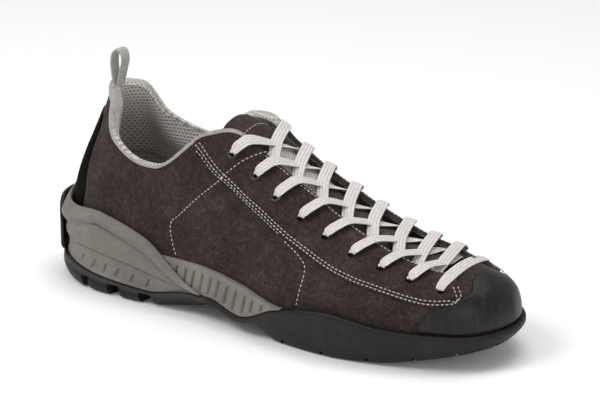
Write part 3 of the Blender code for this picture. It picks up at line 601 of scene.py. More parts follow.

# %% [markdown]
# ## The upper
#
# The suede is one shell on the last, open at collar and throat. It is swept as a closed ring of
# sections round the shoe, each with an outer face, a turned top edge and a lining inside. Real suede
# pulls in along each seam, so the outer face sinks a little near every stitch row, and it is never
# quite even, so low waves and a few soft creases at the ball and the ankle are given.

# %% Relief of the suede
WALL = 2.0              # thickness of suede and lining
SEAM_PULL, SEAM_REACH = 0.5, 1.5    # depth and half width of the sunken line at a seam
WAVES = (               # height, length along the shoe, length up the wall, phase
    (0.16, 9.1, 13, 0), (0.13, 5.7, -7.9, 1.3), (0.10, 15, 4.7, 0),
)
WAVE_WALL = 60          # height of wall that the waves reckon with
CALM_EDGE = 0.08        # share of the wall below its edge where all relief fades
CREASES = (             # station, share, half length, tilt from upright in degrees, width, depth
    (224, 0.40, 16, 18, 4.5, 0.55), (213, 0.47, 14, 12, 4.0, -0.40), (236, 0.36, 12, 22, 4.0, 0.45),
    (70, 0.62, 14, 62, 5.0, 0.5), (84, 0.74, 13, 70, 5.0, -0.45), (44, 0.66, 16, 55, 6.0, 0.5),
    (118, 0.62, 12, -35, 5.0, 0.4), (162, 0.35, 20, 20, 8.0, 0.4),
)


def distance_to(points, path):
    """Distance from each point to the nearest point of a path."""
    flat = points.reshape(-1, 3)
    best = np.full(len(flat), np.inf)
    for part in np.array_split(path, max(1, len(path) // 40)):
        best = np.minimum(best, np.linalg.norm(flat[:, None] - part[None], axis=2).min(axis=1))
    return best.reshape(points.shape[:-1])


def seam_dip(points, paths):
    """How far the suede sinks beside stitch rows."""
    return -sum(SEAM_PULL * np.exp(-((distance_to(points, p) / SEAM_REACH) ** 2)) for p in paths)


def crease_relief(sec, share):
    """Soft troughs (positive depth) and ridges laid across the wall."""
    relief = np.zeros(np.broadcast(sec.station, share).shape)
    height = wall(sec, share)[1]
    for station, middle, half, tilt, width, depth in CREASES:
        level = float(wall(sections([station], LATERAL), np.array([[middle]]))[1])
        along, up = sec.station - station, height - level
        angle = math.radians(tilt)
        across = along * math.cos(angle) - up * math.sin(angle)
        length = along * math.sin(angle) + up * math.cos(angle)
        relief -= depth * np.exp(-((across / width) ** 2) - (length / half) ** 4)
    return relief


def waves(sec, share):
    """Uneven stretch of the hide over the last."""
    up = share * WAVE_WALL
    return sum(h * np.sin(sec.station / along + up / rise + phase) for h, along, rise, phase in WAVES)


def calm(share):
    return np.clip((1 - share) / CALM_EDGE, 0, 1)


def upper_seams(side):
    """Stitch rows that are sewn through the shell itself."""
    quarter = on_wall(along_wall(QUARTER_SEAM, side), side, 0)
    third = on_wall(eyestay_row(side, ROW_GAP, THIRD_SPAN), side, 0)
    drop = on_wall(along_wall(DROP_SEAM, side), side, 0)
    edge = on_wall(eyestay_row(side, EYESTAY_CUT + CUT_FOLD, CUT_SPAN), side, 0)
    return [quarter, third, drop, edge]


print("creases:", len(CREASES))

# %% Sweep the upper
OUTER_SHARES = np.linspace(0, 1, 66)
LINING_SHARES = np.linspace(1, 0, 22)
EDGE_ROLL = ((1.002, -0.25), (1.005, -0.7), (1.006, -1.0), (1.005, -1.4), (1.002, -1.8))   # share, offset

SHELL_SECTIONS = 336
run = np.linspace(0, 2 * TOE, SHELL_SECTIONS + 1)[:-1]
shell = sections(np.minimum(run, 2 * TOE - run), np.where(run <= TOE, LATERAL, MEDIAL))
base = skin(shell, OUTER_SHARES)
relief = waves(shell, OUTER_SHARES) + crease_relief(shell, OUTER_SHARES)
relief += seam_dip(base, upper_seams(LATERAL) + upper_seams(MEDIAL))
relief *= calm(OUTER_SHARES)
faces_out = skin(shell, OUTER_SHARES, relief)
roll = skin(shell, np.array([t for t, _ in EDGE_ROLL]), np.array([o for _, o in EDGE_ROLL]))
lining = skin(shell, LINING_SHARES, -WALL)
upper_rings = np.concatenate([faces_out, roll, lining], axis=1)
print("upper rings:", upper_rings.shape)

# %% [markdown]
# ## Lining mesh and collar
#
# The inside is a spacer mesh: a pale knit with small staggered holes. Modelling each hole would take
# hundreds of thousands of faces, so the holes are a bump and a darkening on a UV map in millimetres,
# which lets the rows follow the collar. The band over the top edge is a closer knit.

# %% Finishes of the lining
def thread_uv(tree):
    return node(tree, "ShaderNodeUVMap", uv_map="thread_uv").outputs["UV"]


def fraction_cells(tree, uv, pitch_u, pitch_v):
    """Distance from the middle of staggered cells, from a UV map in millimetres."""
    split = node(tree, "ShaderNodeSeparateXYZ", {"Vector": uv})
    row = maths(tree, "DIVIDE", split.outputs["Y"], pitch_v)
    odd = maths(tree, "FLOORED_MODULO", maths(tree, "FLOOR", row), 2.0)
    along = maths(tree, "DIVIDE", split.outputs["X"], pitch_u)
    moved = maths(tree, "ADD", along, maths(tree, "MULTIPLY", odd, 0.5))
    parts = [maths(tree, "SUBTRACT", maths(tree, "FRACT", value), 0.5) for value in (moved, row)]
    joined = node(tree, "ShaderNodeCombineXYZ", {"X": parts[0], "Y": parts[1]}).outputs[0]
    return node(tree, "ShaderNodeVectorMath", {0: joined}, operation="LENGTH").outputs["Value"]


def mesh_lining():
    made, tree, shader, at = finish_base("mesh_lining", 0.9, Sheen_Weight=0.2)
    cell = fraction_cells(tree, thread_uv(tree), 2.5, 2.0)
    uneven = noise(tree, at.outputs["Object"], 300, 2)
    value = sum_of(tree, (cell, 1.0), (uneven, 0.16))
    hole, side_of_hole, yarn = (0.20, 0.18, 0.165), (0.42, 0.39, 0.355), (0.60, 0.56, 0.515)
    colour_from(tree, shader, value, (0.14, hole), (0.36, side_of_hole), (0.60, yarn))
    bump(tree, shader, value, 0.9, 0.0009)
    return made


def collar_knit():
    made, tree, shader, at = finish_base("collar_knit", 0.88, Sheen_Weight=0.25)
    loops = fraction_cells(tree, thread_uv(tree), 1.1, 0.8)
    uneven = noise(tree, at.outputs["Object"], 420, 3)
    value = sum_of(tree, (loops, 0.6), (uneven, 0.6))
    gap, yarn, pale_yarn = (0.22, 0.20, 0.19), (0.38, 0.35, 0.335), (0.48, 0.445, 0.43)
    colour_from(tree, shader, value, (0.32, gap), (0.5, yarn), (0.7, pale_yarn))
    bump(tree, shader, value, 0.6, 0.0006)
    return made


MESH_LINING, COLLAR_KNIT = mesh_lining(), collar_knit()
print("finishes:", MESH_LINING.name, COLLAR_KNIT.name)

# %% The shell with its lining
outer_count = len(OUTER_SHARES) + len(EDGE_ROLL)
inside = np.arange(upper_rings.shape[1]) >= outer_count - 1
upper_uv = np.zeros(upper_rings.shape[:2] + (2,))
middle_of_lining = outer_count + 8
upper_uv[..., 0] = run_along(upper_rings[:, middle_of_lining])[:, None]
upper_uv[..., 1] = upper_rings[..., 2]
upper = swept("upper", upper_rings, [SUEDE, MESH_LINING], closed=True, uv=upper_uv, second=inside)
attach(upper, "suede", "upper")


# %% Collar pad
PAD, PAD_END, PAD_PER_KNOT = 5.0, 143.0, 4      # thickness, last station, points from knot to knot
PAD_BACK, PAD_LEAST = -WALL - 0.3, 0.4          # where its back lies off the wall, and its least depth
PAD_ROWS = (            # share of the wall, depth of the inner face
    (1.0, 0.75 * PAD), (0.93, PAD), (0.8, 0.9 * PAD), (0.62, 0.5 * PAD), (0.45, 1.4),
)
PAD_RISE = ((0, 2.2), (35, 2.2), (58, 0.5), (98, 0.4), (120, 0.8), (143, 0.8))  # station, height of roll
PAD_SPREAD = ((0, 1), (95, 1), (122, 0.1), (143, 0.1))          # station, how far down inside it reaches
PAD_SLIM = ((0, 0), (42, 0), (66, 0.9), (143, 0.9))             # station, how much thinner its top is
BAND_WIDTH = (          # station, width of knit that wraps over the suede
    (0, 2), (50, 2), (60, 1.8), (70, 1.6), (80, 1.5), (92, 1.4), (101, 2.0), (109, 2.2), (117, 1.7),
    (143, 1.7),
)
BAND_LIFT = ((0, 0.9), (108, 0.9), (117, 1.75), (143, 1.75))    # station, how far it stands off the wall
BAND_ROWS = ((1.0, 0.1), (0.9, 0.75), (0.5, 1.0), (0.0, 1.0))   # shares of the band's width and lift


def collar_rings(sec):
    """Closed sections: the band outside, the rolled top, the full inner face, and the back on the shell."""
    tables = (BAND_WIDTH, BAND_LIFT, PAD_SPREAD, PAD_SLIM, PAD_RISE)
    width, stand, spread, slim, rise = (between(rows, sec.station) for rows in tables)
    band = []
    for part_of_width, part_of_lift in BAND_ROWS:
        share = share_from_edge(sec, width * part_of_width)
        band.append(skin(sec, share, stand * part_of_lift + waves(sec, share) * calm(share))[:, 0])
    inner = []
    for share, depth in PAD_ROWS:
        deep = depth * spread * (1 - slim * np.clip((share - 0.8) / 0.2, 0, 1))
        inner.append(skin(sec, 1 - (1 - share) * spread, PAD_BACK - np.maximum(deep, PAD_LEAST))[:, 0])
    lift = rise * np.array([[0.0, 0.0, 1.0]])
    top = [band[-1] + lift * 0.7, (band[-1] + inner[0]) / 2 + lift, inner[0] + lift * 0.55]
    back_of_pad = [skin(sec, 1 - (1 - t) * spread, PAD_BACK)[:, 0] for t in (0.45, 0.7, 1.0)]
    over = [skin(sec, np.array([1.012]), np.array([o]))[:, 0] for o in (-WALL, 0.1)]
    under_band = [skin(sec, share_from_edge(sec, width * 0.6), 0.1)[:, 0]]
    knots = np.array(band + top + inner + back_of_pad + over + under_band)
    closed = curve_through(np.concatenate([knots, knots[:1]]), PAD_PER_KNOT * len(knots) + 1)
    return np.swapaxes(closed[:-1], 0, 1)


pad_sections = heel_trip(PAD_END, 1.0)
pad_rings = collar_rings(pad_sections)
INNER_COLUMN = PAD_PER_KNOT * (len(BAND_ROWS) + 3)      # where the inner face starts
MESH_SHIFT, MESH_TURN = 10, 12      # columns from there to the mesh, and the outer station where it changes
pad_steps = np.linalg.norm(np.diff(pad_rings, axis=1, append=pad_rings[:, :1]), axis=2)
pad_around = np.cumsum(pad_steps, axis=1)
pad_uv = np.zeros(pad_rings.shape[:2] + (2,))
pad_uv[..., 0] = run_along(pad_rings[:, INNER_COLUMN + 6])[:, None]
pad_uv[..., 1] = pad_rings[..., 2]
climb = pad_around[:, INNER_COLUMN, None] - pad_around[:, :INNER_COLUMN]
pad_uv[:, :INNER_COLUMN, 1] = pad_rings[:, INNER_COLUMN, None, 2] + climb
far_side = pad_sections.side * pad_sections.station > -MESH_TURN
mesh_start = INNER_COLUMN + np.where(far_side, -MESH_SHIFT, MESH_SHIFT)
in_mesh = np.arange(pad_rings.shape[1]) >= mesh_start
collar_pad = swept("collar_pad", pad_rings, [COLLAR_KNIT, MESH_LINING], uv=pad_uv, second=in_mesh)
attach(collar_pad, "lining", "collar_pad")

# %% [markdown]
# ## Overlays
#
# Eyestays, toe cap and backstay are cut from sheet and sewn or glued on the shell, so each is a thin
# sheet that follows the same wall a little further out. Their cut edges are rounded by letting the
# sheet's thickness fade over its last millimetre. The toe cap is a smooth black sheet with faint
# upright rub marks, unlike the suede.

# %% Overlay sheets
OVERLAY = 1.3           # thickness of a sheet
SHEET_FOOT = -0.25      # how deep its edges sit in the shell
SHEET_ROUND, SHEET_END = 1.3, 2.0   # how far its long edges and its ends are rounded
SHEET_COLUMNS = 40
EYESTAY_STATIONS = np.concatenate([
    np.linspace(113, 116, 6), np.linspace(117, 283, 150), np.linspace(284, 288.5, 9),
])
EYESTAY_TOP, CAP_MARGIN = 0.992, 0.07       # shares of the wall: its upper edge, its distance from the cap


def overlay_rings(sec, low, high, thickness):
    """Outer and inner face of a sheet between two shares of the wall, with rounded edges and ends."""
    share = low + (high - low) * np.linspace(0, 1, SHEET_COLUMNS)
    points = skin(sec, share)
    width = np.linalg.norm(np.diff(points, axis=1), axis=2).sum(axis=1)
    length = run_along(points[:, SHEET_COLUMNS // 2])
    from_end = np.minimum(length, length[-1] - length)
    end_rise = np.sqrt(1 - (1 - np.clip(from_end / SHEET_END, 0, 1)) ** 2)
    rise = np.stack([rolled(SHEET_COLUMNS, w, SHEET_ROUND) for w in width]) * end_rise[:, None]
    outer = skin(sec, share, SHEET_FOOT + (thickness - SHEET_FOOT) * rise + waves(sec, share) * rise)
    inner = skin(sec, share[:, ::-1], SHEET_FOOT - 0.1)
    return outer, inner


def quarter_rows(side):
    """The quarter seam's two parts: over the eyestay, and on the shell below it."""
    quarter = along_wall(QUARTER_SEAM, side)
    cut = share_from_edge(sections(quarter[:, 0], side), eyestay_width(quarter[:, 0]))[:, 0]
    return quarter[quarter[:, 1] > cut], quarter[quarter[:, 1] <= cut]


def sheet_rows(side):
    """Rows of stitches on the eyestay itself."""
    middle = eyestay_row(side, 0, MIDDLE_SPAN, SEAM_FRONT)
    inner = eyestay_row(side, -ROW_GAP, INNER_SPAN, INNER_FRONT)
    return [middle, inner, throat_row(side), quarter_rows(side)[0]]


def eyestay(side):
    sec = sections(EYESTAY_STATIONS, side)
    width = eyestay_width(EYESTAY_STATIONS)
    low = np.maximum(share_from_edge(sec, width), between(CAP_EDGE, sec.station) + CAP_MARGIN)
    outer, inner = overlay_rings(sec, low, np.full_like(low, EYESTAY_TOP), OVERLAY)
    dip = seam_dip(outer, [on_wall(row, side, OVERLAY) for row in sheet_rows(side)]) * 0.7
    outward = unit(outer - inner[:, ::-1])
    outer = outer + outward * dip[..., None]
    name = "lateral" if side == LATERAL else "medial"
    piece = swept("eyestay_" + name, np.concatenate([outer, inner], axis=1), [SUEDE])
    return attach(piece, "suede", "eyestay_" + name)


for side in (LATERAL, MEDIAL):
    eyestay(side)


# %% Toe cap finish
def toe_finish(name, dark, middle, light, shine, smooth, worn):
    made, tree, shader, at = finish_base(name, 0.42, Specular_IOR_Level=shine)
    upright = {"Vector": at.outputs["Object"], "Scale": (1, 1, 0.16)}
    rubbed = noise(tree, node(tree, "ShaderNodeMapping", upright).outputs[0], 420, 3, 0.6)
    cloud = noise(tree, at.outputs["Object"], 70, 3)
    grain = noise(tree, at.outputs["Object"], 1300, 2)
    value = sum_of(tree, (rubbed, 0.55), (cloud, 0.45))
    colour_from(tree, shader, value, (0.40, dark), (0.55, middle), (0.68, light))
    rough_from(tree, shader, value, smooth, worn)
    bump(tree, shader, sum_of(tree, (grain, 0.6), (rubbed, 0.4)), 0.12, 0.0004)
    return made


TOE_RUBBER = toe_finish(
    "toe_rubber", (0.006, 0.005, 0.0045), (0.013, 0.011, 0.010), (0.028, 0.025, 0.023), 0.30, 0.30, 0.55
)
STAY_BLACK = toe_finish(
    "backstay_black", (0.004, 0.0035, 0.003), (0.006, 0.0055, 0.005), (0.010, 0.009, 0.008), 0.03, 0.7, 0.9
)
print("finishes:", TOE_RUBBER.name, STAY_BLACK.name)

# %% Toe cap and backstay
cap_sections = toe_trip(CAP_EDGE[0][0] + 4, 0.8)
cap_low = share_at(cap_sections, cap_sections.outsole_z + 0.2)
cap_high = np.maximum(monotone(*zip(*CAP_EDGE), cap_sections.station), cap_low + 0.03)
cap_rings = np.concatenate(overlay_rings(cap_sections, cap_low, cap_high, OVERLAY), axis=1)
toe_cap = swept("toe_cap", cap_rings, [TOE_RUBBER])
attach(toe_cap, "toe_rubber", "toe_cap")

BACKSTAY_EDGE = (       # station, share of the wall at its top
    (0, 0.82), (18, 0.82), (22, 0.78), (25, 0.68), (28, 0.57), (31, 0.47), (34, 0.40), (36, 0.36),
)
BACKSTAY, BACKSTAY_END, BACKSTAY_TUCK = 0.8, 36.0, 4.0    # thickness, last station, depth behind the cup
CUP_DROP = ((0, 5), (22, 5), (36, 3.4), (46, 1), (54, 0))   # station, cup's edge below its solid's
CUP_LEAST = 2.0         # least height of the cup above the outsole


def cup_top(sec):
    """Height of the heel cup's top edge."""
    return np.maximum(sec.cup_z - between(CUP_DROP, sec.station), sec.outsole_z + CUP_LEAST)


stay_sections = heel_trip(BACKSTAY_END, 0.6)
stay_low = share_at(stay_sections, cup_top(stay_sections) - BACKSTAY_TUCK)
stay_high = between(BACKSTAY_EDGE, stay_sections.station)
stay_rings = np.concatenate(overlay_rings(stay_sections, stay_low, stay_high, BACKSTAY), axis=1)
backstay = swept("backstay", stay_rings, [STAY_BLACK])
attach(backstay, "toe_rubber", "backstay")

# %% [markdown]
# ## The sole
#
# Three mouldings lie on each other: a dark rubber outsole that climbs the forefoot and the toe, a
# grey wedge with slanted slits, and a grey cup that holds the heel. Outsole and wedge are sweeps of
# half sections that start and end on the spine, and the cup is a closed section swept round the heel.
# The slits and steps follow from the sections, so they are worked into the swept points, and only
# the tread's notches are cut with Booleans.

# %% Sole finishes
def moulded(name, dark, middle, light, roughness, grain_strength):
    made, tree, shader, at = finish_base(name, roughness, Specular_IOR_Level=0.25)
    cloud = noise(tree, at.outputs["Object"], 40, 4)
    grain = noise(tree, at.outputs["Object"], 1700, 2)
    scuff = noise(tree, at.outputs["Object"], 240, 5, 0.7)
    value = sum_of(tree, (cloud, 0.45), (scuff, 0.35), (grain, 0.2))
    colour_from(tree, shader, value, (0.38, dark), (0.5, middle), (0.66, light))
    rough_from(tree, shader, value, roughness - 0.12, roughness + 0.12)
    bump(tree, shader, grain, grain_strength, 0.0003)
    return made


SOLE_RUBBER = moulded(
    "sole_rubber", (0.008, 0.007, 0.006), (0.012, 0.010, 0.009), (0.024, 0.021, 0.019), 0.5, 0.18
)
RIM_GREY = moulded(
    "rim_grey", (0.026, 0.023, 0.021), (0.036, 0.032, 0.029), (0.055, 0.049, 0.045), 0.55, 0.22
)
GREY_SOLE = moulded(
    "grey_moulding", (0.155, 0.138, 0.125), (0.195, 0.175, 0.158), (0.245, 0.222, 0.202), 0.55, 0.22
)
print("finishes:", SOLE_RUBBER.name, RIM_GREY.name, GREY_SOLE.name)


# %% Sweep of half sections
CORNER_ROUNDS, CORNER_CUT = 2, 0.22     # how often corners are cut off, and the share of each side


def smoothed(points):
    """Rounds the corners of half sections (path, point, 2) by cutting them off."""
    for _ in range(CORNER_ROUNDS):
        first = points[:, :-1] * (1 - CORNER_CUT) + points[:, 1:] * CORNER_CUT
        second = points[:, :-1] * CORNER_CUT + points[:, 1:] * (1 - CORNER_CUT)
        middle = np.stack([first, second], axis=2).reshape(len(points), -1, 2)
        points = np.concatenate([points[:, :1], middle, points[:, -1:]], axis=1)
    return points


def tray(name, profile, stations, finishes, rim=None):
    """Body from half sections that start and end on the spine, folded shut at heel and toe."""
    halves, marks = [], []
    for side in (LATERAL, MEDIAL):
        sec = sections(stations, side)
        flat = profile(sec)
        halves.append(place(sec, flat[..., 0], flat[..., 1]))
        marks.append(np.zeros(flat.shape[:2], bool) if rim is None else rim(sec, flat))
    rings, second = (np.concatenate([pair[0], pair[1][:, ::-1]], axis=1) for pair in (halves, marks))
    return swept(name, rings, finishes, second=second)


def stacked(sec, *rows):
    """Half sections (path, point, 2) from rows of (out, up), any of them plain numbers."""
    pairs = [np.concatenate([np.broadcast_to(v, sec.x.shape) for v in row], axis=1) for row in rows]
    return np.stack(pairs, axis=1)


def heelward(sec):
    """Share of a change that grows from the ankle to the heel."""
    return np.clip((ANKLE_X - sec.x) / HEEL_RUN, 0, 1)


ANKLE_X, HEEL_RUN = LAST_ROWS["ankle"][0], 20.0
print("sole helpers ready")

# %% Outsole
HEEL_FLOOR = 9.0        # height of the outsole's floor under the heel
RIM, RIM_SPAN = 2.6, (26.0, 132.0)      # height and stations of the dark grey band
LUG_FLARE = ((80, 2.6), (105, 0))       # station, how much further out the heel's lugs stand at the floor


def outsole_profile(sec):
    edge = sec.feather + sec.outsole_out
    floor = np.minimum(sec.outsole_z - 0.4 - heelward(sec), sec.feather_z - 0.3)
    floor_middle = np.where(sec.x < ANKLE_X, np.minimum(floor, HEEL_FLOOR), floor)
    lip = outer_at(sec, sec.outsole_z) + 0.1
    tread = sec.feather + sec.tread_out + between(LUG_FLARE, sec.station)
    middle = (sec.tread_z + sec.outsole_z) / 2
    flat = stacked(
        sec, (0, sec.tread_mid_z), (tread * 0.55, sec.tread_mid_z), (tread - 2, sec.tread_z),
        (tread, sec.tread_z + 1.2), ((tread + edge) / 2 + 1.0, middle), (edge - 0.2, sec.outsole_z - 3.3),
        (edge, sec.outsole_z - 2.9), (edge, sec.outsole_z - 0.8), (edge - 0.7, sec.outsole_z),
        (lip, sec.outsole_z), (sec.feather + 0.35, floor), (0, floor_middle),
    )
    return smoothed(flat)


def heel_rim(sec, flat):
    """The dark grey band along the top of the outsole's side at the heel."""
    along = (sec.station > RIM_SPAN[0]) & (sec.station < RIM_SPAN[1])
    return along & (flat[..., 0] > sec.feather) & (flat[..., 1] > sec.outsole_z - RIM)


outsole_stations = np.linspace(0, TOE, 190)
outsole = tray("outsole", outsole_profile, outsole_stations, [SOLE_RUBBER, RIM_GREY], heel_rim)


# %% Tread notches
def notch_box(bm, centre, outward, sizes):
    """A box that cuts one notch: sizes along outward, along the edge and up, in millimetres."""
    up = np.array([0.0, 0.0, 1.0])
    axes = (outward, np.cross(up, outward), up)
    corners = {}
    for a in (-1, 1):
        for b in (-1, 1):
            for c in (-1, 1):
                move = sum(axis * sign * size / 2 for axis, sign, size in zip(axes, (a, b, c), sizes))
                corners[a, b, c] = bm.verts.new((centre + move) * MM)
    for fixed in range(3):
        for end in (-1, 1):
            ring = [(-1, -1), (-1, 1), (1, 1), (1, -1)]
            keys = [(*r[:fixed], end, *r[fixed:]) for r in ring]
            bm.faces.new([corners[k] for k in keys])


def keep_result(target, modifier):
    """Replaces the modifier by the plain mesh that it makes."""
    bpy.context.view_layer.update()
    shown = target.evaluated_get(bpy.context.evaluated_depsgraph_get())
    result = bpy.data.meshes.new_from_object(shown)
    target.modifiers.remove(modifier)
    target.data = result


def cut_boxes(target, name, boxes):
    """Cuts boxes out of a piece and keeps the result as its plain mesh."""
    bm = bmesh.new()
    for box in boxes:
        notch_box(bm, *box)
    bmesh.ops.recalc_face_normals(bm, faces=bm.faces)
    mesh = bpy.data.meshes.new(name)
    bm.to_mesh(mesh)
    bm.free()
    cutter = linked(name, mesh)
    modifier = target.modifiers.new(name, "BOOLEAN")
    modifier.operation = "DIFFERENCE"
    modifier.object = cutter
    keep_result(target, modifier)
    bpy.data.objects.remove(cutter)


EDGE_NOTCHES = (        # notches of the tread's edge: station, width, depth, height
    (44.8, 5.5, 12, 7.5), (66.3, 8.5, 12, 7.5), (87.5, 9, 12, 7), (186, 2, 11, 3), (212, 2, 11, 3),
    (238, 2, 11, 3), (264, 2, 11, 3), (288, 2, 11, 3), (311, 2, 11, 3),
)
BOX_PAST_EDGE, BOX_PAST_TREAD = 12.0, 6.0       # how far a box stands out of the rubber


def tread_boxes():
    for station, width, depth, height in EDGE_NOTCHES:
        for side in (LATERAL, MEDIAL):
            sec = sections([station], side)
            reach = float(sec.feather + sec.tread_out)
            level = float(sec.tread_z) + (height - BOX_PAST_TREAD) / 2
            centre = place(sec, reach + (BOX_PAST_EDGE - depth) / 2, level)[0, 0]
            outward = unit(place(sec, 1, 0)[0, 0] - place(sec, 0, 0)[0, 0])
            yield centre, outward, (depth + BOX_PAST_EDGE, width, height + BOX_PAST_TREAD)


cut_boxes(outsole, "tread_notches", list(tread_boxes()))
outsole.data.set_sharp_from_angle(angle=math.radians(38))
attach(outsole, "sole_rubber", "outsole")

# %% Midsole wedge with its slits
MIDSOLE_END, MIDSOLE_TIP = 187.0, 8.0   # last station, and the length over which it thins out
WEDGE_POINTS, WEDGE_ROUND = 30, 0.9     # points up its side, and how far the side's edges draw back
WEDGE_SLITS = (102, 108.5, 115.5, 121.5, 128.5, 135, 141, 147.5, 154, 161, 167, 174.5)   # stations
SLIT_LEAN, SLIT_HALF, SLIT_DEPTH, SLIT_MARGIN = 0.28, 0.85, 1.5, 3.0


def slit_relief(sec, up, low, high):
    """Depth of the slanted slits at these heights: narrow troughs that end short of the edges."""
    along = sec.x - SLIT_LEAN * (up - (low + high) / 2)
    near = np.min([np.abs(along - x) for x in sections(WEDGE_SLITS, LATERAL).x[:, 0]], axis=0)
    margin = np.minimum(SLIT_MARGIN, 0.22 * (high - low))
    fade = np.clip((high - margin - up) / 0.7, 0, 1) * np.clip((up - low - margin * 0.6) / 0.7, 0, 1)
    return SLIT_DEPTH * np.exp(-((near / SLIT_HALF) ** 2)) * fade


def midsole_profile(sec):
    edge = sec.feather + sec.midsole_out
    base = sec.outsole_z + 0.3 + 0.7 * heelward(sec)
    base_middle = np.where(sec.x < ANKLE_X, np.minimum(base, HEEL_FLOOR + 1.0), base)
    tip = np.clip((MIDSOLE_END - sec.station) / MIDSOLE_TIP, 0.05, 1)
    floor = np.maximum(sec.feather_z - 0.3, base + 0.8 * tip)
    top = np.maximum(sec.midsole_z, floor + 0.6 * tip)
    lip = np.minimum(outer_at(sec, top) + 0.1, edge - 0.9)
    ups = base + (top - base) * np.linspace(0, 1, WEDGE_POINTS)
    round_edge = WEDGE_ROUND * (rolled(WEDGE_POINTS, 12.0, 2.5) - 1)
    outs = edge + round_edge - slit_relief(sec, ups, base, top)
    side_rows = [(outs[:, k:k + 1], ups[:, k:k + 1]) for k in range(WEDGE_POINTS)]
    return stacked(sec, (0, base_middle), *side_rows, (lip, top), (sec.feather + 0.35, floor), (0, floor))


midsole_stations = np.concatenate([np.linspace(0, 95, 48), np.linspace(95.4, MIDSOLE_END, 230)])
midsole = tray("midsole", midsole_profile, midsole_stations, [GREY_SOLE])
midsole.data.set_sharp_from_angle(angle=math.radians(50))
attach(midsole, "grey_sole", "midsole")

# %% Heel cup
CUP_END, CUP_BEAD, CUP_STEP = 128.0, 2.5, 1.6   # last station, height of the ridge, depth of the step
CUP_RIDGE = (           # station, height of the ridge below the top edge, height of its sloped top
    (0, 15, 10), (20, 15, 7.5), (31, 13, 4.6), (42, 8.4, 2.6), (54, 7, 2), (66, 7.5, 2), (90, 9, 2),
    (128, 4, 1.5),
)
CUP_FOOT = ((0, -1.8), (0.5, -1.7), (0.9, -0.75))       # millimetres above the foot, relief
CUP_STEPPED = (0.07, 0.12, 0.17, 0.22, 0.28, 0.34, 0.385)       # shares of the height, below the step
CUP_FIELD = (0.40, 0.45)        # the same, above it
RIDGE_FOOT = 0.74       # where the ridge's side is steepest, in ridges below the top edge
CUP_CREASE = ((1.3, 0.0), (1.06, -0.7), (0.92, -0.2), (RIDGE_FOOT, 0.6 * CUP_BEAD))     # the same, relief
CUP_SLITS = (41, 49.5, 59, 68, 78, 89)          # stations
SLIT_LEVEL, CUP_SLIT_LEAN = 0.145, 0.45         # share of the height where they lie, and their slant
CUP_SLIT_DEPTH, CUP_SLIT_WIDE, CUP_SLIT_TALL = 1.3, 0.7, 2.8    # the last two from the slit's middle


def cup_inside(sec, up):
    return np.maximum(outer_at(sec, up), sec.feather + sec.midsole_out) + 0.3


def cup_rings(sec):
    """Closed sections: tucked foot, step with its slits, field, crease, ridge, sloped top, inner face."""
    low, high = sec.outsole_z + 0.3, cup_top(sec)
    tall = high - low
    stations, heights, slopes = zip(*CUP_RIDGE)
    ridge = np.minimum(np.interp(sec.station, stations, heights), 0.42 * tall)
    slope = np.minimum(np.interp(sec.station, stations, slopes), 0.25 * tall)
    shrink = np.minimum(1.0, sec.cup_wall / 2.0)
    rows = [(low + up, relief) for up, relief in CUP_FOOT]
    rows += [(low + share * tall, -CUP_STEP) for share in CUP_STEPPED]
    rows += [(low + share * tall, 0.0) for share in CUP_FIELD]
    rows += [(high - part * ridge, relief) for part, relief in CUP_CREASE]
    rows += [(high - 0.5 * (RIDGE_FOOT * ridge + slope), CUP_BEAD), (high - slope, 0.8 * CUP_BEAD)]
    ups = np.array([up for up, _ in rows])
    outs = np.array([cup_inside(sec, up) + sec.cup_wall + shrink * relief for up, relief in rows])
    rim = cup_inside(sec, high) + np.minimum(0.8, 0.5 * sec.cup_wall)
    edge_ups, edge_outs = [], []
    for share in (0.35, 0.75, 1.0):
        edge_ups.append(high - slope + slope * share)
        edge_outs.append(outs[-1] + (rim - outs[-1]) * share + 0.35 * np.sin(math.pi * share))
    line = np.stack([np.concatenate([ups, edge_ups]), np.concatenate([outs, edge_outs])], axis=-1)
    line = curve_through(line, 5 * len(line))[:, :, 0]
    up, out = line[..., 0].T, line[..., 1].T
    slit_up = low + SLIT_LEVEL * tall
    for station in CUP_SLITS:
        near = sec.station - station - CUP_SLIT_LEAN * (up - slit_up)
        inside_slit = np.exp(-((near / CUP_SLIT_WIDE) ** 4) - ((up - slit_up) / CUP_SLIT_TALL) ** 6)
        out = out - CUP_SLIT_DEPTH * inside_slit
    inner_up = high + (low - high) * np.linspace(0, 1, 8)
    return np.concatenate([place(sec, out, up), place(sec, cup_inside(sec, inner_up), inner_up)], axis=1)


heel_cup = swept("heel_cup", cup_rings(heel_trip(CUP_END, 0.45)), [GREY_SOLE])
attach(heel_cup, "grey_sole", "heel_cup")

# %% Heel tab
HEEL_TAB_HALF, HEEL_TAB, HEEL_TAB_TOP = 21.5, 2.0, 47.0     # half width, thickness, height of its top
TAB_POINTS, TAB_SIDE = 30, 0.15     # points up the tab, and the share of its half width that rounds off
tab_sections = heel_trip(HEEL_TAB_HALF, 0.5)
tab_share = tab_sections.station / HEEL_TAB_HALF
tab_low = tab_sections.outsole_z + 0.3
tab_tall = (HEEL_TAB_TOP - tab_low) * np.sqrt(1 - 0.75 * tab_share**4)
tab_up = tab_low + tab_tall * np.linspace(0, 1, TAB_POINTS)
tab_back = cup_inside(tab_sections, tab_up) + tab_sections.cup_wall + CUP_BEAD * 0.9
past_flat = np.clip(tab_share - (1 - TAB_SIDE), 0, TAB_SIDE) / TAB_SIDE
tab_rise = rolled(TAB_POINTS, 30.0, 2.0) * np.sqrt(1 - past_flat**2)
tab_outer = place(tab_sections, tab_back + HEEL_TAB * (1 - 0.4 * tab_share) * tab_rise, tab_up)
tab_inner = place(tab_sections, tab_back - 0.9, tab_up)[:, ::-1]
heel_tab = swept("heel_tab", np.concatenate([tab_outer, tab_inner], axis=1), [SOLE_RUBBER])
attach(heel_tab, "sole_rubber", "heel_tab")

# %% Insole
INSOLE, INSOLE_GAP = 4.0, 0.6       # thickness, and the gap to the lining


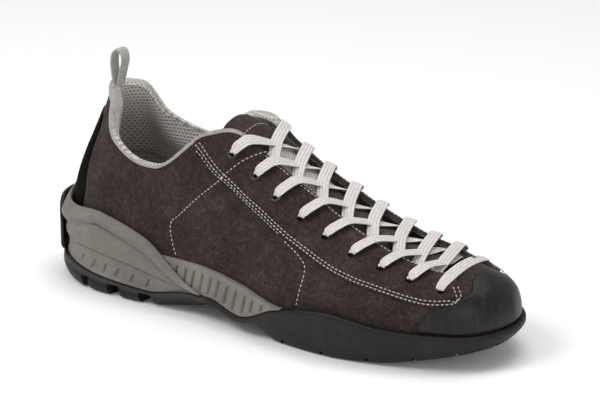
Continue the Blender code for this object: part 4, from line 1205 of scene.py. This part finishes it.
def footbed_finish():
    made, tree, shader, at = finish_base("footbed_felt", 0.95, Sheen_Weight=0.3)
    felt = noise(tree, at.outputs["Object"], 900, 4, 0.7)
    cloud = noise(tree, at.outputs["Object"], 60, 2)
    value = sum_of(tree, (felt, 0.6), (cloud, 0.4))
    colour_from(tree, shader, value, (0.35, (0.07, 0.067, 0.061)), (0.65, (0.16, 0.152, 0.14)))
    bump(tree, shader, felt, 0.5, 0.0005)
    return made


def insole_profile(sec):
    edge = sec.feather - WALL - INSOLE_GAP
    base, top = sec.feather_z, sec.feather_z + INSOLE
    return smoothed(stacked(sec, (0, base), (edge, base), (edge, top), (0, base + INSOLE * 0.85)))


insole = tray("insole", insole_profile, np.linspace(0, TOE, 110), [footbed_finish()])
attach(insole, "footbed", "insole")

# %% [markdown]
# ## Tongue
#
# The padded tongue lies under the throat, with a wing below each eyestay and a soft arch between. Its
# sections come from the same wall, further in, and a smooth curve runs through them from the rounded
# top to the toe end. Its top is the same suede, a patch of mesh follows, and the rest is a paler suede,
# painted light: the tongue is drawn as lit where the light falls between the laces.

# %% Tongue
TONGUE, TONGUE_GAP = 4.0, 3.4           # thickness, and the depth of its face below the shell
TONGUE_ARCH, TONGUE_DOME, DOME_REACH = 0.22, 0.06, 9.0      # height of its arch, and more of it at the top
TONGUE_WINGS = (0.72, 0.86, 1.0)        # shares of the wall that the wings lie under
TONGUE_STATIONS = np.concatenate([[136.0], np.linspace(145, 237, 8), [246, 255, 264]])
TONGUE_TOP, TONGUE_FRONT = (-11, 0, 3), (14, 0.5, -6.5)     # how far both ends run on
TONGUE_RINGS, TONGUE_COLUMNS = 150, 49
TONGUE_PATCH, PATCH_HALF = (151.0, 181.0), 19       # stations and half the columns of its mesh patch
TONGUE_SEAM, SEAM_HALF = 137.0, 16      # station and half the columns of the stitches across it
TONGUE_MIDDLE = TONGUE_COLUMNS // 2


def tongue_face(stations, depth):
    """Line across the tongue at this depth: wing, arch, wing, for each station."""
    wings = {s: skin(sections(stations, s), np.array(TONGUE_WINGS), -depth) for s in (LATERAL, MEDIAL)}
    left, right = wings[LATERAL][:, -1], wings[MEDIAL][:, -1]
    from_top = (np.asarray(stations) - TONGUE_STATIONS[0]) / DOME_REACH
    dome = TONGUE_ARCH + TONGUE_DOME * np.exp(-(from_top**2))[:, None]
    crown = dome * np.linalg.norm(right - left, axis=1, keepdims=True)
    up = np.array([0.0, 0.0, 1.0])
    arch = [left + (right - left) * u + crown * 2 * u * (1 - u) * up for u in (0.25, 0.5, 0.75)]
    knots = np.concatenate([wings[LATERAL], np.stack(arch, axis=1), wings[MEDIAL][:, ::-1]], axis=1)
    return np.swapaxes(curve_through(np.swapaxes(knots, 0, 1), TONGUE_COLUMNS), 0, 1)


def tongue_rings():
    upper_face = tongue_face(TONGUE_STATIONS, WALL + TONGUE_GAP)
    lower_face = tongue_face(TONGUE_STATIONS, WALL + TONGUE_GAP + TONGUE)
    across = np.linspace(-1, 1, TONGUE_COLUMNS)
    puff = np.clip((1 - np.abs(across)) / 0.12, 0, 1) ** 0.5
    middle = (upper_face + lower_face) / 2
    upper_face = middle + (upper_face - middle) * puff[:, None]
    lower_face = middle + (lower_face - middle) * puff[:, None]
    knots = np.concatenate([upper_face, lower_face[:, ::-1]], axis=1)
    top, front = knots[0] + TONGUE_TOP, knots[-1] + TONGUE_FRONT
    return curve_through(np.concatenate([[top], knots, [front]]), TONGUE_RINGS)


tongue_points = tongue_rings()
knot_at = [TONGUE_STATIONS[0] - 8, *TONGUE_STATIONS, TONGUE_STATIONS[-1] + 14]
knot_of_ring = np.linspace(0, len(knot_at) - 1, TONGUE_RINGS)
tongue_at = np.interp(knot_of_ring, np.arange(len(knot_at)), knot_at)
tongue_uv = np.zeros(tongue_points.shape[:2] + (2,))
tongue_uv[..., 0] = tongue_at[:, None]
tongue_uv[..., 1] = np.arange(tongue_points.shape[1]) * 1.5
patch_columns = np.abs(np.arange(tongue_points.shape[1]) - TONGUE_MIDDLE) < PATCH_HALF
tongue_part = np.digitize(tongue_at, TONGUE_PATCH)      # before, on and after the mesh patch
# Marks of 0 give the paler suede, which is painted light where the light falls between the laces.
tongue_marks = np.array([2, 1, 0])[tongue_part][:, None] * patch_columns
tongue_finishes = [LIT_TONGUE_SUEDE, MESH_LINING, SUEDE]
tongue = swept("tongue", tongue_points, tongue_finishes, uv=tongue_uv, second=tongue_marks)
attach(tongue, "suede", "tongue")

# %% [markdown]
# ## Laces
#
# One flat lace runs the whole way. From the bar at the toe each end dives into an eyelet, comes out
# from under the throat's edge, crosses the tongue, lies over the other eyelet row and dives again,
# up to the top row, where the ends stay inside. So the route is one list of places worked out row by
# row, and the ribbon keeps its width axis as it turns through the holes. Straps that start on the
# inner side lie on top where two cross.

# %% Lace route
EYELETS = (             # station, distance below the throat's edge
    (139, 12), (154.5, 13.5), (169, 16), (185.5, 17), (201.5, 16.5), (219, 16), (237, 14), (257, 13.5),
    (278, 15),
)
LACE_TUCKS = (159, 173.5, 190, 206, 223.5, 241, 255, 269.5)     # stations where straps dive under an edge
LACE_OVER_EDGE, LACE_CROSSING = 7.3, 12.5   # from a hole to where its strap passes the edge, and the middle
LACE_LIFT = {LATERAL: 1.3, MEDIAL: 2.9}     # height over the tongue, by the side where a strap starts
LACE_WIDTH, LACE_THICKNESS = 7.0, 1.3
UNDER = -(WALL + 1.6)   # where the lace lies below the shell


def from_edge(station, side, distance, offset):
    """Point this far below the throat's edge and this far off the wall."""
    share = float(share_from_edge(sections([station], side), distance))
    return spot(station, side, share, offset)


def outward_at(station, side, distance):
    return unit(from_edge(station, side, distance, 1.0) - from_edge(station, side, distance, 0.0))


def tongue_crown(station):
    return tongue_face(np.array([station]), WALL + TONGUE_GAP)[0, TONGUE_MIDDLE]


def strap_route(row, side):
    """Knots (point, facing, width share) from under one lace hole to under the other side's edge."""
    s, below = EYELETS[row]
    tuck = LACE_TUCKS[row]
    crown = tongue_crown(s + LACE_CROSSING) + (0, 0, LACE_LIFT[side])
    near, far = outward_at(s, side, below * 0.6), outward_at(tuck, -side, 3)
    return [
        (from_edge(s, side, below - 1.2, UNDER + 0.4), near, 0.5),
        (from_edge(s, side, below - 0.4, 0.2), near, 0.5),
        (from_edge(s + LACE_OVER_EDGE / below, side, below - 1.0, 1.9), near, 0.68),
        (from_edge(s + LACE_OVER_EDGE * 3 / below, side, below - 3.0, 2.9), near, 0.95),
        (from_edge(s + LACE_OVER_EDGE / 2, side, below / 2, 3.4), near, 1.0),
        (spot(s + LACE_OVER_EDGE, side, 1.0, 2.6), near, 1.0),
        (crown, np.array([0.25, 0, 1.0]), 1.0),
        (spot(tuck - 1.5, -side, 1.0, UNDER + 0.3), far, 1.0),
        (from_edge(tuck, -side, 6.0, UNDER), far, 0.9),
    ]


def toe_bar_route():
    """Knots of the bar at the toe, from the outer hole up, across and into the inner one."""
    s, below = EYELETS[-1]
    left, right = (from_edge(s, side, below - 1.5, 2.2) for side in (LATERAL, MEDIAL))
    tilts = [outward_at(s, side, 10) for side in (LATERAL, MEDIAL)]
    found = [(from_edge(s, LATERAL, below, -0.6), tilts[0], 0.6)]
    for u in (0.0, 0.2, 0.5, 0.8, 1.0):
        rise = np.array([0.0, 0.0, 4.2 * (1 - abs(2 * u - 1) ** 2.4)])
        share = 0.75 if u in (0.0, 1.0) else 1.0
        found.append((left + (right - left) * u + rise, tilts[0] + (tilts[1] - tilts[0]) * u, share))
    return found + [(from_edge(s, MEDIAL, below, -0.6), tilts[1], 0.6)]


def lace_route():
    """The whole lace: down one way from the top row, over the toe bar, and back up the other way."""
    first, second = [], []
    for row in range(len(LACE_TUCKS)):
        first += strap_route(row, LATERAL if row % 2 == 0 else MEDIAL)
        second += strap_route(row, MEDIAL if row % 2 == 0 else LATERAL)
    last, below = EYELETS[-1]
    ends = [
        (from_edge(last, side, below - 1.5, UNDER), outward_at(last, side, below - 2), 0.6)
        for side in (LATERAL, MEDIAL)
    ]
    return first + ends[:1] + toe_bar_route() + ends[1:] + second[::-1]


route = lace_route()
print("lace route:", len(route), "places")

# %% Lace ribbon
LACE_PER_KNOT, LACE_COLUMNS, RIBS = 9, 25, 4


def flat_ribbon(path, across, out, share, half_width, half_thick, wide):
    """Rings and thread UV of a ribbon. Shares of its width run from -1 to 1."""
    flat = path[:, None] + across[:, None] * (share * half_width)[..., None]
    rise = out[:, None] * half_thick[..., None]
    rings = np.concatenate([flat + rise, (flat - rise)[:, -2:0:-1]], axis=1)
    uv = np.zeros(rings.shape[:2] + (2,))
    uv[..., 0] = run_along(path)[:, None]
    uv[..., 1] = np.concatenate([share, share[-2:0:-1]]) * wide / 2
    return rings, uv


def lace_ribbon(route):
    """Ribbed ribbon along the route: its width axis never flips from one place to the next."""
    knots = np.array([p for p, _, _ in route])
    facing = np.array([f for _, f, _ in route])
    widths = np.array([[w] for _, _, w in route])
    heading = unit(np.gradient(knots, axis=0))
    across = np.cross(facing, heading)
    for i in range(1, len(across)):
        if np.dot(across[i], across[i - 1]) < 0:
            across[i] = -across[i]
    count = (len(knots) - 1) * LACE_PER_KNOT + 1
    path = curve_through(knots, count)
    ahead = unit(np.gradient(path, axis=0))
    turn = curve_through(unit(across), count)
    turn = unit(turn - ahead * np.sum(turn * ahead, axis=1, keepdims=True))
    normal = np.cross(ahead, turn)
    width = np.clip(curve_through(widths, count), 0.45, 1.0)
    share = np.linspace(-1, 1, LACE_COLUMNS)
    crown = np.sqrt(np.clip(1 - np.abs(share) ** 4, 0, 1)) * (0.8 - 0.2 * np.cos(share * math.pi * RIBS))
    half_thick = crown * (LACE_THICKNESS / 2 / np.sqrt(width))
    return flat_ribbon(path, turn, normal, share, LACE_WIDTH / 2 * width, half_thick, LACE_WIDTH)


def lace_finish():
    made, tree, shader, at = finish_base("woven_lace", 0.85, Sheen_Weight=0.3)
    uv = thread_uv(tree)
    cell = fraction_cells(tree, uv, 1.15, 0.875)
    uneven = noise(tree, at.outputs["Object"], 500, 3)
    value = sum_of(tree, (cell, 0.7), (uneven, 0.5))
    yarn, side_of_yarn, gap = (0.80, 0.75, 0.745), (0.70, 0.65, 0.645), (0.46, 0.43, 0.425)
    colour = ramp(tree, value, (0.25, yarn), (0.55, side_of_yarn), (0.8, gap))
    # Painted shade: the colour darkens in the grooves between the ribs.
    across = node(tree, "ShaderNodeSeparateXYZ", {"Vector": uv}).outputs["Y"]
    part_of_rib = maths(tree, "FRACT", maths(tree, "MULTIPLY", across, RIBS / LACE_WIDTH))
    beside = maths(tree, "ABSOLUTE", maths(tree, "SUBTRACT", part_of_rib, 0.5))
    shade = ramp(tree, beside, (0.34, (1, 1, 1)), (0.48, (0.62, 0.60, 0.60)))
    both = {0: 1.0, 6: colour, 7: shade}        # factor and the two colours, by the sockets' places
    groove_shaded = node(tree, "ShaderNodeMix", both, data_type="RGBA", blend_type="MULTIPLY")
    tree.links.new(groove_shaded.outputs[2], shader.inputs["Base Color"])
    bump(tree, shader, maths(tree, "SUBTRACT", 1.0, cell), 0.5, 0.0005)
    return made


lace_rings, lace_uv = lace_ribbon(route)
lace = swept("lace", lace_rings, [lace_finish()], uv=lace_uv)
attach(lace, "lace", *[f"lace_crossing_{k + 1}" for k in range(len(LACE_TUCKS))], "lace_toe_bar")
print("lace length:", round(lace_uv[..., 0].max()), "mm")

# %% [markdown]
# ## Eyelets
#
# The top three rows have small dark metal rings, the rows below are plain punched holes. One ring
# shape repeats at places that the wall gives, which is what Geometry Nodes are for: the places are
# points with a facing, and the tree sets a turned ring on each. A second tree sets a flat black disc
# in every hole, painted shade where the hole is dark.

# %% Geometry Nodes helpers
def node_tree(name, *inputs):
    """An empty geometry tree with named inputs: (name, socket type)."""
    tree = bpy.data.node_groups.new(name, "GeometryNodeTree")
    tree.interface.new_socket("Geometry", in_out="INPUT", socket_type="NodeSocketGeometry")
    for label, kind in inputs:
        tree.interface.new_socket(label, in_out="INPUT", socket_type=kind)
    tree.interface.new_socket("Geometry", in_out="OUTPUT", socket_type="NodeSocketGeometry")
    return tree, node(tree, "NodeGroupInput")


def close_tree(tree, geometry, finish):
    """Ends a tree: realized, smooth, with its finish."""
    real = node(tree, "GeometryNodeRealizeInstances", {"Geometry": geometry}).outputs[0]
    soft = node(tree, "GeometryNodeSetShadeSmooth", {"Geometry": real}).outputs[0]
    done = node(tree, "GeometryNodeSetMaterial", {"Geometry": soft, "Material": finish}).outputs[0]
    node(tree, "NodeGroupOutput", {"Geometry": done})


def run_tree(source, tree, values):
    """Sets a tree's inputs on an object by identifier and keeps the result as its plain mesh."""
    modifier = source.modifiers.new(tree.name, "NODES")
    modifier.node_group = tree
    for item in tree.interface.items_tree:
        if item.in_out == "INPUT" and item.name in values:
            modifier[item.identifier] = values[item.name]
    keep_result(source, modifier)


print("geometry node helpers ready")


# %% Eyelet rings and painted hole shade
def set_facing(tree, given, shape):
    """Sets a shape on each point, turned to face as the point says, and ends the tree."""
    facing = node(tree, "GeometryNodeInputNamedAttribute", {"Name": "facing"}, data_type="FLOAT_VECTOR")
    outward = {"Vector": facing.outputs["Attribute"]}
    turn = node(tree, "FunctionNodeAlignRotationToVector", outward, axis="Z").outputs[0]
    copies = {"Points": given.outputs["Geometry"], "Instance": shape, "Rotation": turn}
    set_on = node(tree, "GeometryNodeInstanceOnPoints", copies).outputs[0]
    close_tree(tree, set_on, given.outputs["Finish"])


def ring_tree():
    tree, given = node_tree(
        "eyelet_rings",
        ("Hole", "NodeSocketFloat"), ("Rim", "NodeSocketFloat"), ("Finish", "NodeSocketMaterial"),
    )
    round_hole, round_rim = (
        node(tree, "GeometryNodeCurvePrimitiveCircle", {"Resolution": count, "Radius": given.outputs[size]})
        for count, size in ((28, "Hole"), (10, "Rim"))
    )
    curves = {"Curve": round_hole.outputs["Curve"], "Profile Curve": round_rim.outputs["Curve"]}
    tube = node(tree, "GeometryNodeCurveToMesh", curves).outputs[0]
    flat = node(tree, "GeometryNodeTransform", {"Geometry": tube, "Scale": (1, 1, 0.75)}).outputs[0]
    set_facing(tree, given, flat)
    return tree


def eyelet_metal():
    made, tree, shader, at = finish_base("dark_eyelet", 0.4, Metallic=0.7)
    worn = noise(tree, at.outputs["Object"], 900, 3)
    colour_from(tree, shader, worn, (0.4, (0.035, 0.033, 0.032)), (0.7, (0.10, 0.095, 0.09)))
    rough_from(tree, shader, worn, 0.32, 0.5)
    return made


def points_with_facing(name, points, facings):
    """A mesh of loose points, each with the direction that its copy faces."""
    mesh = bpy.data.meshes.new(name)
    mesh.from_pydata((np.array(points) * MM).tolist(), [], [])
    attribute = mesh.attributes.new("facing", "FLOAT_VECTOR", "POINT")
    attribute.data.foreach_set("vector", np.array(facings, float).ravel())
    return linked(name, mesh)


def hole_shade_tree():
    # Each hole gets a flat black disc: painted shade where the hole is dark.
    tree, given = node_tree("painted_hole_shade", ("Hole", "NodeSocketFloat"), ("Finish", "NodeSocketMaterial"))
    size = {"Vertices": 24, "Radius": given.outputs["Hole"], "Depth": HOLE_DEPTH * MM}
    set_facing(tree, given, node(tree, "GeometryNodeMeshCylinder", size).outputs["Mesh"])
    return tree


def eyelet_points(name, rows, lift):
    """Points with facings at the lace holes of these rows, on both sides, this far off the sheet."""
    places = [(s, side, below) for s, below in rows for side in (LATERAL, MEDIAL)]
    points = [from_edge(*at, OVERLAY + lift) for at in places]
    return points_with_facing(name, points, [outward_at(*at) for at in places])


RING_ROWS, RING_HOLE, RING_RIM, RING_LIFT = 3, 2.75, 0.75, 0.15
# Radius, depth and lift of the black discs painted as shade in the holes.
HOLE, HOLE_DEPTH, HOLE_LIFT = 2.3, 0.3, 0.3
eyelets = eyelet_points("eyelet_rings", EYELETS[:RING_ROWS], RING_LIFT)
run_tree(eyelets, ring_tree(), {"Hole": RING_HOLE * MM, "Rim": RING_RIM * MM, "Finish": eyelet_metal()})
attach(eyelets, "eyelet", *[f"eyelet_{n}_{k + 1}" for n in ("lateral", "medial") for k in range(RING_ROWS)])

# Black discs in all the punched holes, painted shade inside them, with the backstay's black finish.
holes = eyelet_points("painted_hole_shade", EYELETS, HOLE_LIFT)
run_tree(holes, hole_shade_tree(), {"Hole": HOLE * MM, "Finish": STAY_BLACK})
attach(holes, "eyelet")

# %% [markdown]
# ## Pull loop
#
# A folded strip of webbing stands at the back of the collar. It is a flat ribbon along a short list
# of places, like the lace, but with a plain close weave and a pale grey colour.

# %% Pull loop
LOOP_WIDTH, LOOP_THICKNESS = 8.0, 1.4
LOOP_RINGS, LOOP_COLUMNS = 90, 13
LOOP_PLACES = (         # forward and up from the collar's back
    (0.6, 0), (-0.6, 7), (-0.8, 14.5), (1.6, 19.4), (5.2, 19.8), (7.0, 15), (5.4, 8), (3.2, 0),
)


def webbing_finish():
    made, tree, shader, at = finish_base("grey_webbing", 0.85, Sheen_Weight=0.2)
    cell = fraction_cells(tree, thread_uv(tree), 1.0, 0.8)
    uneven = noise(tree, at.outputs["Object"], 500, 3)
    value = sum_of(tree, (cell, 0.7), (uneven, 0.5))
    yarn, side_of_yarn, gap = (0.50, 0.49, 0.475), (0.40, 0.39, 0.38), (0.25, 0.245, 0.24)
    colour_from(tree, shader, value, (0.25, yarn), (0.55, side_of_yarn), (0.8, gap))
    bump(tree, shader, maths(tree, "SUBTRACT", 1.0, cell), 0.6, 0.0005)
    return made


def loop_rings():
    foot = spot(0, LATERAL, 1.0, -WALL - 1) + (0, 0, PAD_RISE[0][1] - 0.1)
    path = curve_through([foot + (forward, 0, up) for forward, up in LOOP_PLACES], LOOP_RINGS)
    ahead = unit(np.gradient(path, axis=0))
    across = np.tile([0.0, 1.0, 0.0], (len(path), 1))
    out = np.cross(ahead, across)
    share = np.linspace(-1, 1, LOOP_COLUMNS)
    half_thick = np.sqrt(np.clip(1 - np.abs(share) ** 6, 0, 1)) * LOOP_THICKNESS / 2
    return flat_ribbon(path, across, out, share, LOOP_WIDTH / 2, half_thick, LOOP_WIDTH)


loop_points, loop_uv = loop_rings()
pull_loop = swept("pull_loop", loop_points, [webbing_finish()], uv=loop_uv)
attach(pull_loop, "webbing", "pull_loop")

# %% [markdown]
# ## Stitches
#
# Pale thread shows as short even dashes, each a small rounded bead that sinks at its ends. They
# follow the seam lines, so a Geometry Nodes tree turns each line into a curve, spaces points along
# it and sets one stitch on each point, turned along the line.

# %% Stitch tree and thread
def stitch_tree():
    tree, given = node_tree(
        "sewn_stitches", ("Spacing", "NodeSocketFloat"), ("Length", "NodeSocketFloat"),
        ("Thread", "NodeSocketFloat"), ("Finish", "NodeSocketMaterial"),
    )
    line = node(tree, "GeometryNodeMeshToCurve", {"Mesh": given.outputs["Geometry"]}).outputs[0]
    even = {"Curve": line, "Length": given.outputs["Spacing"]}
    spaced = node(tree, "GeometryNodeResampleCurve", even, mode="LENGTH").outputs[0]
    ball = node(tree, "GeometryNodeMeshUVSphere", {"Segments": 8, "Rings": 5, "Radius": 1.0})
    half_sizes = {axis: given.outputs[label] for axis, label in zip("XYZ", ("Length", "Thread", "Thread"))}
    stretch = node(tree, "ShaderNodeCombineXYZ", half_sizes).outputs[0]
    stretched = {"Geometry": ball.outputs["Mesh"], "Scale": stretch}
    bead = node(tree, "GeometryNodeTransform", stretched).outputs[0]
    tangent = node(tree, "GeometryNodeInputTangent").outputs[0]
    turn = node(tree, "FunctionNodeAlignRotationToVector", {"Vector": tangent}, axis="X").outputs[0]
    copies = {"Points": spaced, "Instance": bead, "Rotation": turn}
    close_tree(tree, node(tree, "GeometryNodeInstanceOnPoints", copies).outputs[0], given.outputs["Finish"])
    return tree


def thread_finish():
    made, tree, shader, at = finish_base("pale_thread", 0.75)
    uneven = noise(tree, at.outputs["Object"], 800, 2)
    colour_from(tree, shader, uneven, (0.35, (0.36, 0.34, 0.32)), (0.65, (0.60, 0.57, 0.54)))
    return made


def seam_lines(name, lines):
    """A mesh of open lines, one for each seam."""
    points, edges = [], []
    for line in lines:
        start = len(points)
        points += (line * MM).tolist()
        edges += [(k, k + 1) for k in range(start, len(points) - 1)]
    mesh = bpy.data.meshes.new(name)
    mesh.from_pydata(points, edges, [])
    return linked(name, mesh)


THREAD = thread_finish()
STITCHES = stitch_tree()
print("tree:", STITCHES.name)

# %% Sew the seams
STITCH_SPACING, STITCH_HALF, THREAD_RADIUS = 2.5, 0.95, 0.32
ON_SHEET, ON_SHELL, ON_TONGUE = OVERLAY - 0.15, -0.25, 0.1      # where a thread's middle lies


def sewn_rows(side):
    """Every row of stitches on one side, on the surface that it is sewn through."""
    third = eyestay_row(side, ROW_GAP, THIRD_SPAN)
    shell_rows = [quarter_rows(side)[1], third, along_wall(DROP_SEAM, side)]
    found = []
    for rows, lift in ((sheet_rows(side), ON_SHEET), (shell_rows, ON_SHELL)):
        for row in rows:
            found.append(on_wall(row, side, lift + waves(sections(row[:, 0], side), row[:, 1:2])))
    return found


tongue_ring = tongue_points[np.searchsorted(tongue_at, TONGUE_SEAM)]
tongue_row = tongue_ring[TONGUE_MIDDLE - SEAM_HALF:TONGUE_MIDDLE + SEAM_HALF + 1] + (0, 0, ON_TONGUE)
stitch_sizes = {
    "Spacing": STITCH_SPACING * MM, "Length": STITCH_HALF * MM,
    "Thread": THREAD_RADIUS * MM, "Finish": THREAD,
}
for side, name in ((LATERAL, "lateral"), (MEDIAL, "medial")):
    rows = sewn_rows(side) + ([tongue_row] if side == LATERAL else [])
    stitches = seam_lines("stitches_" + name, rows)
    run_tree(stitches, STITCHES, stitch_sizes)
    attach(stitches, "lace")
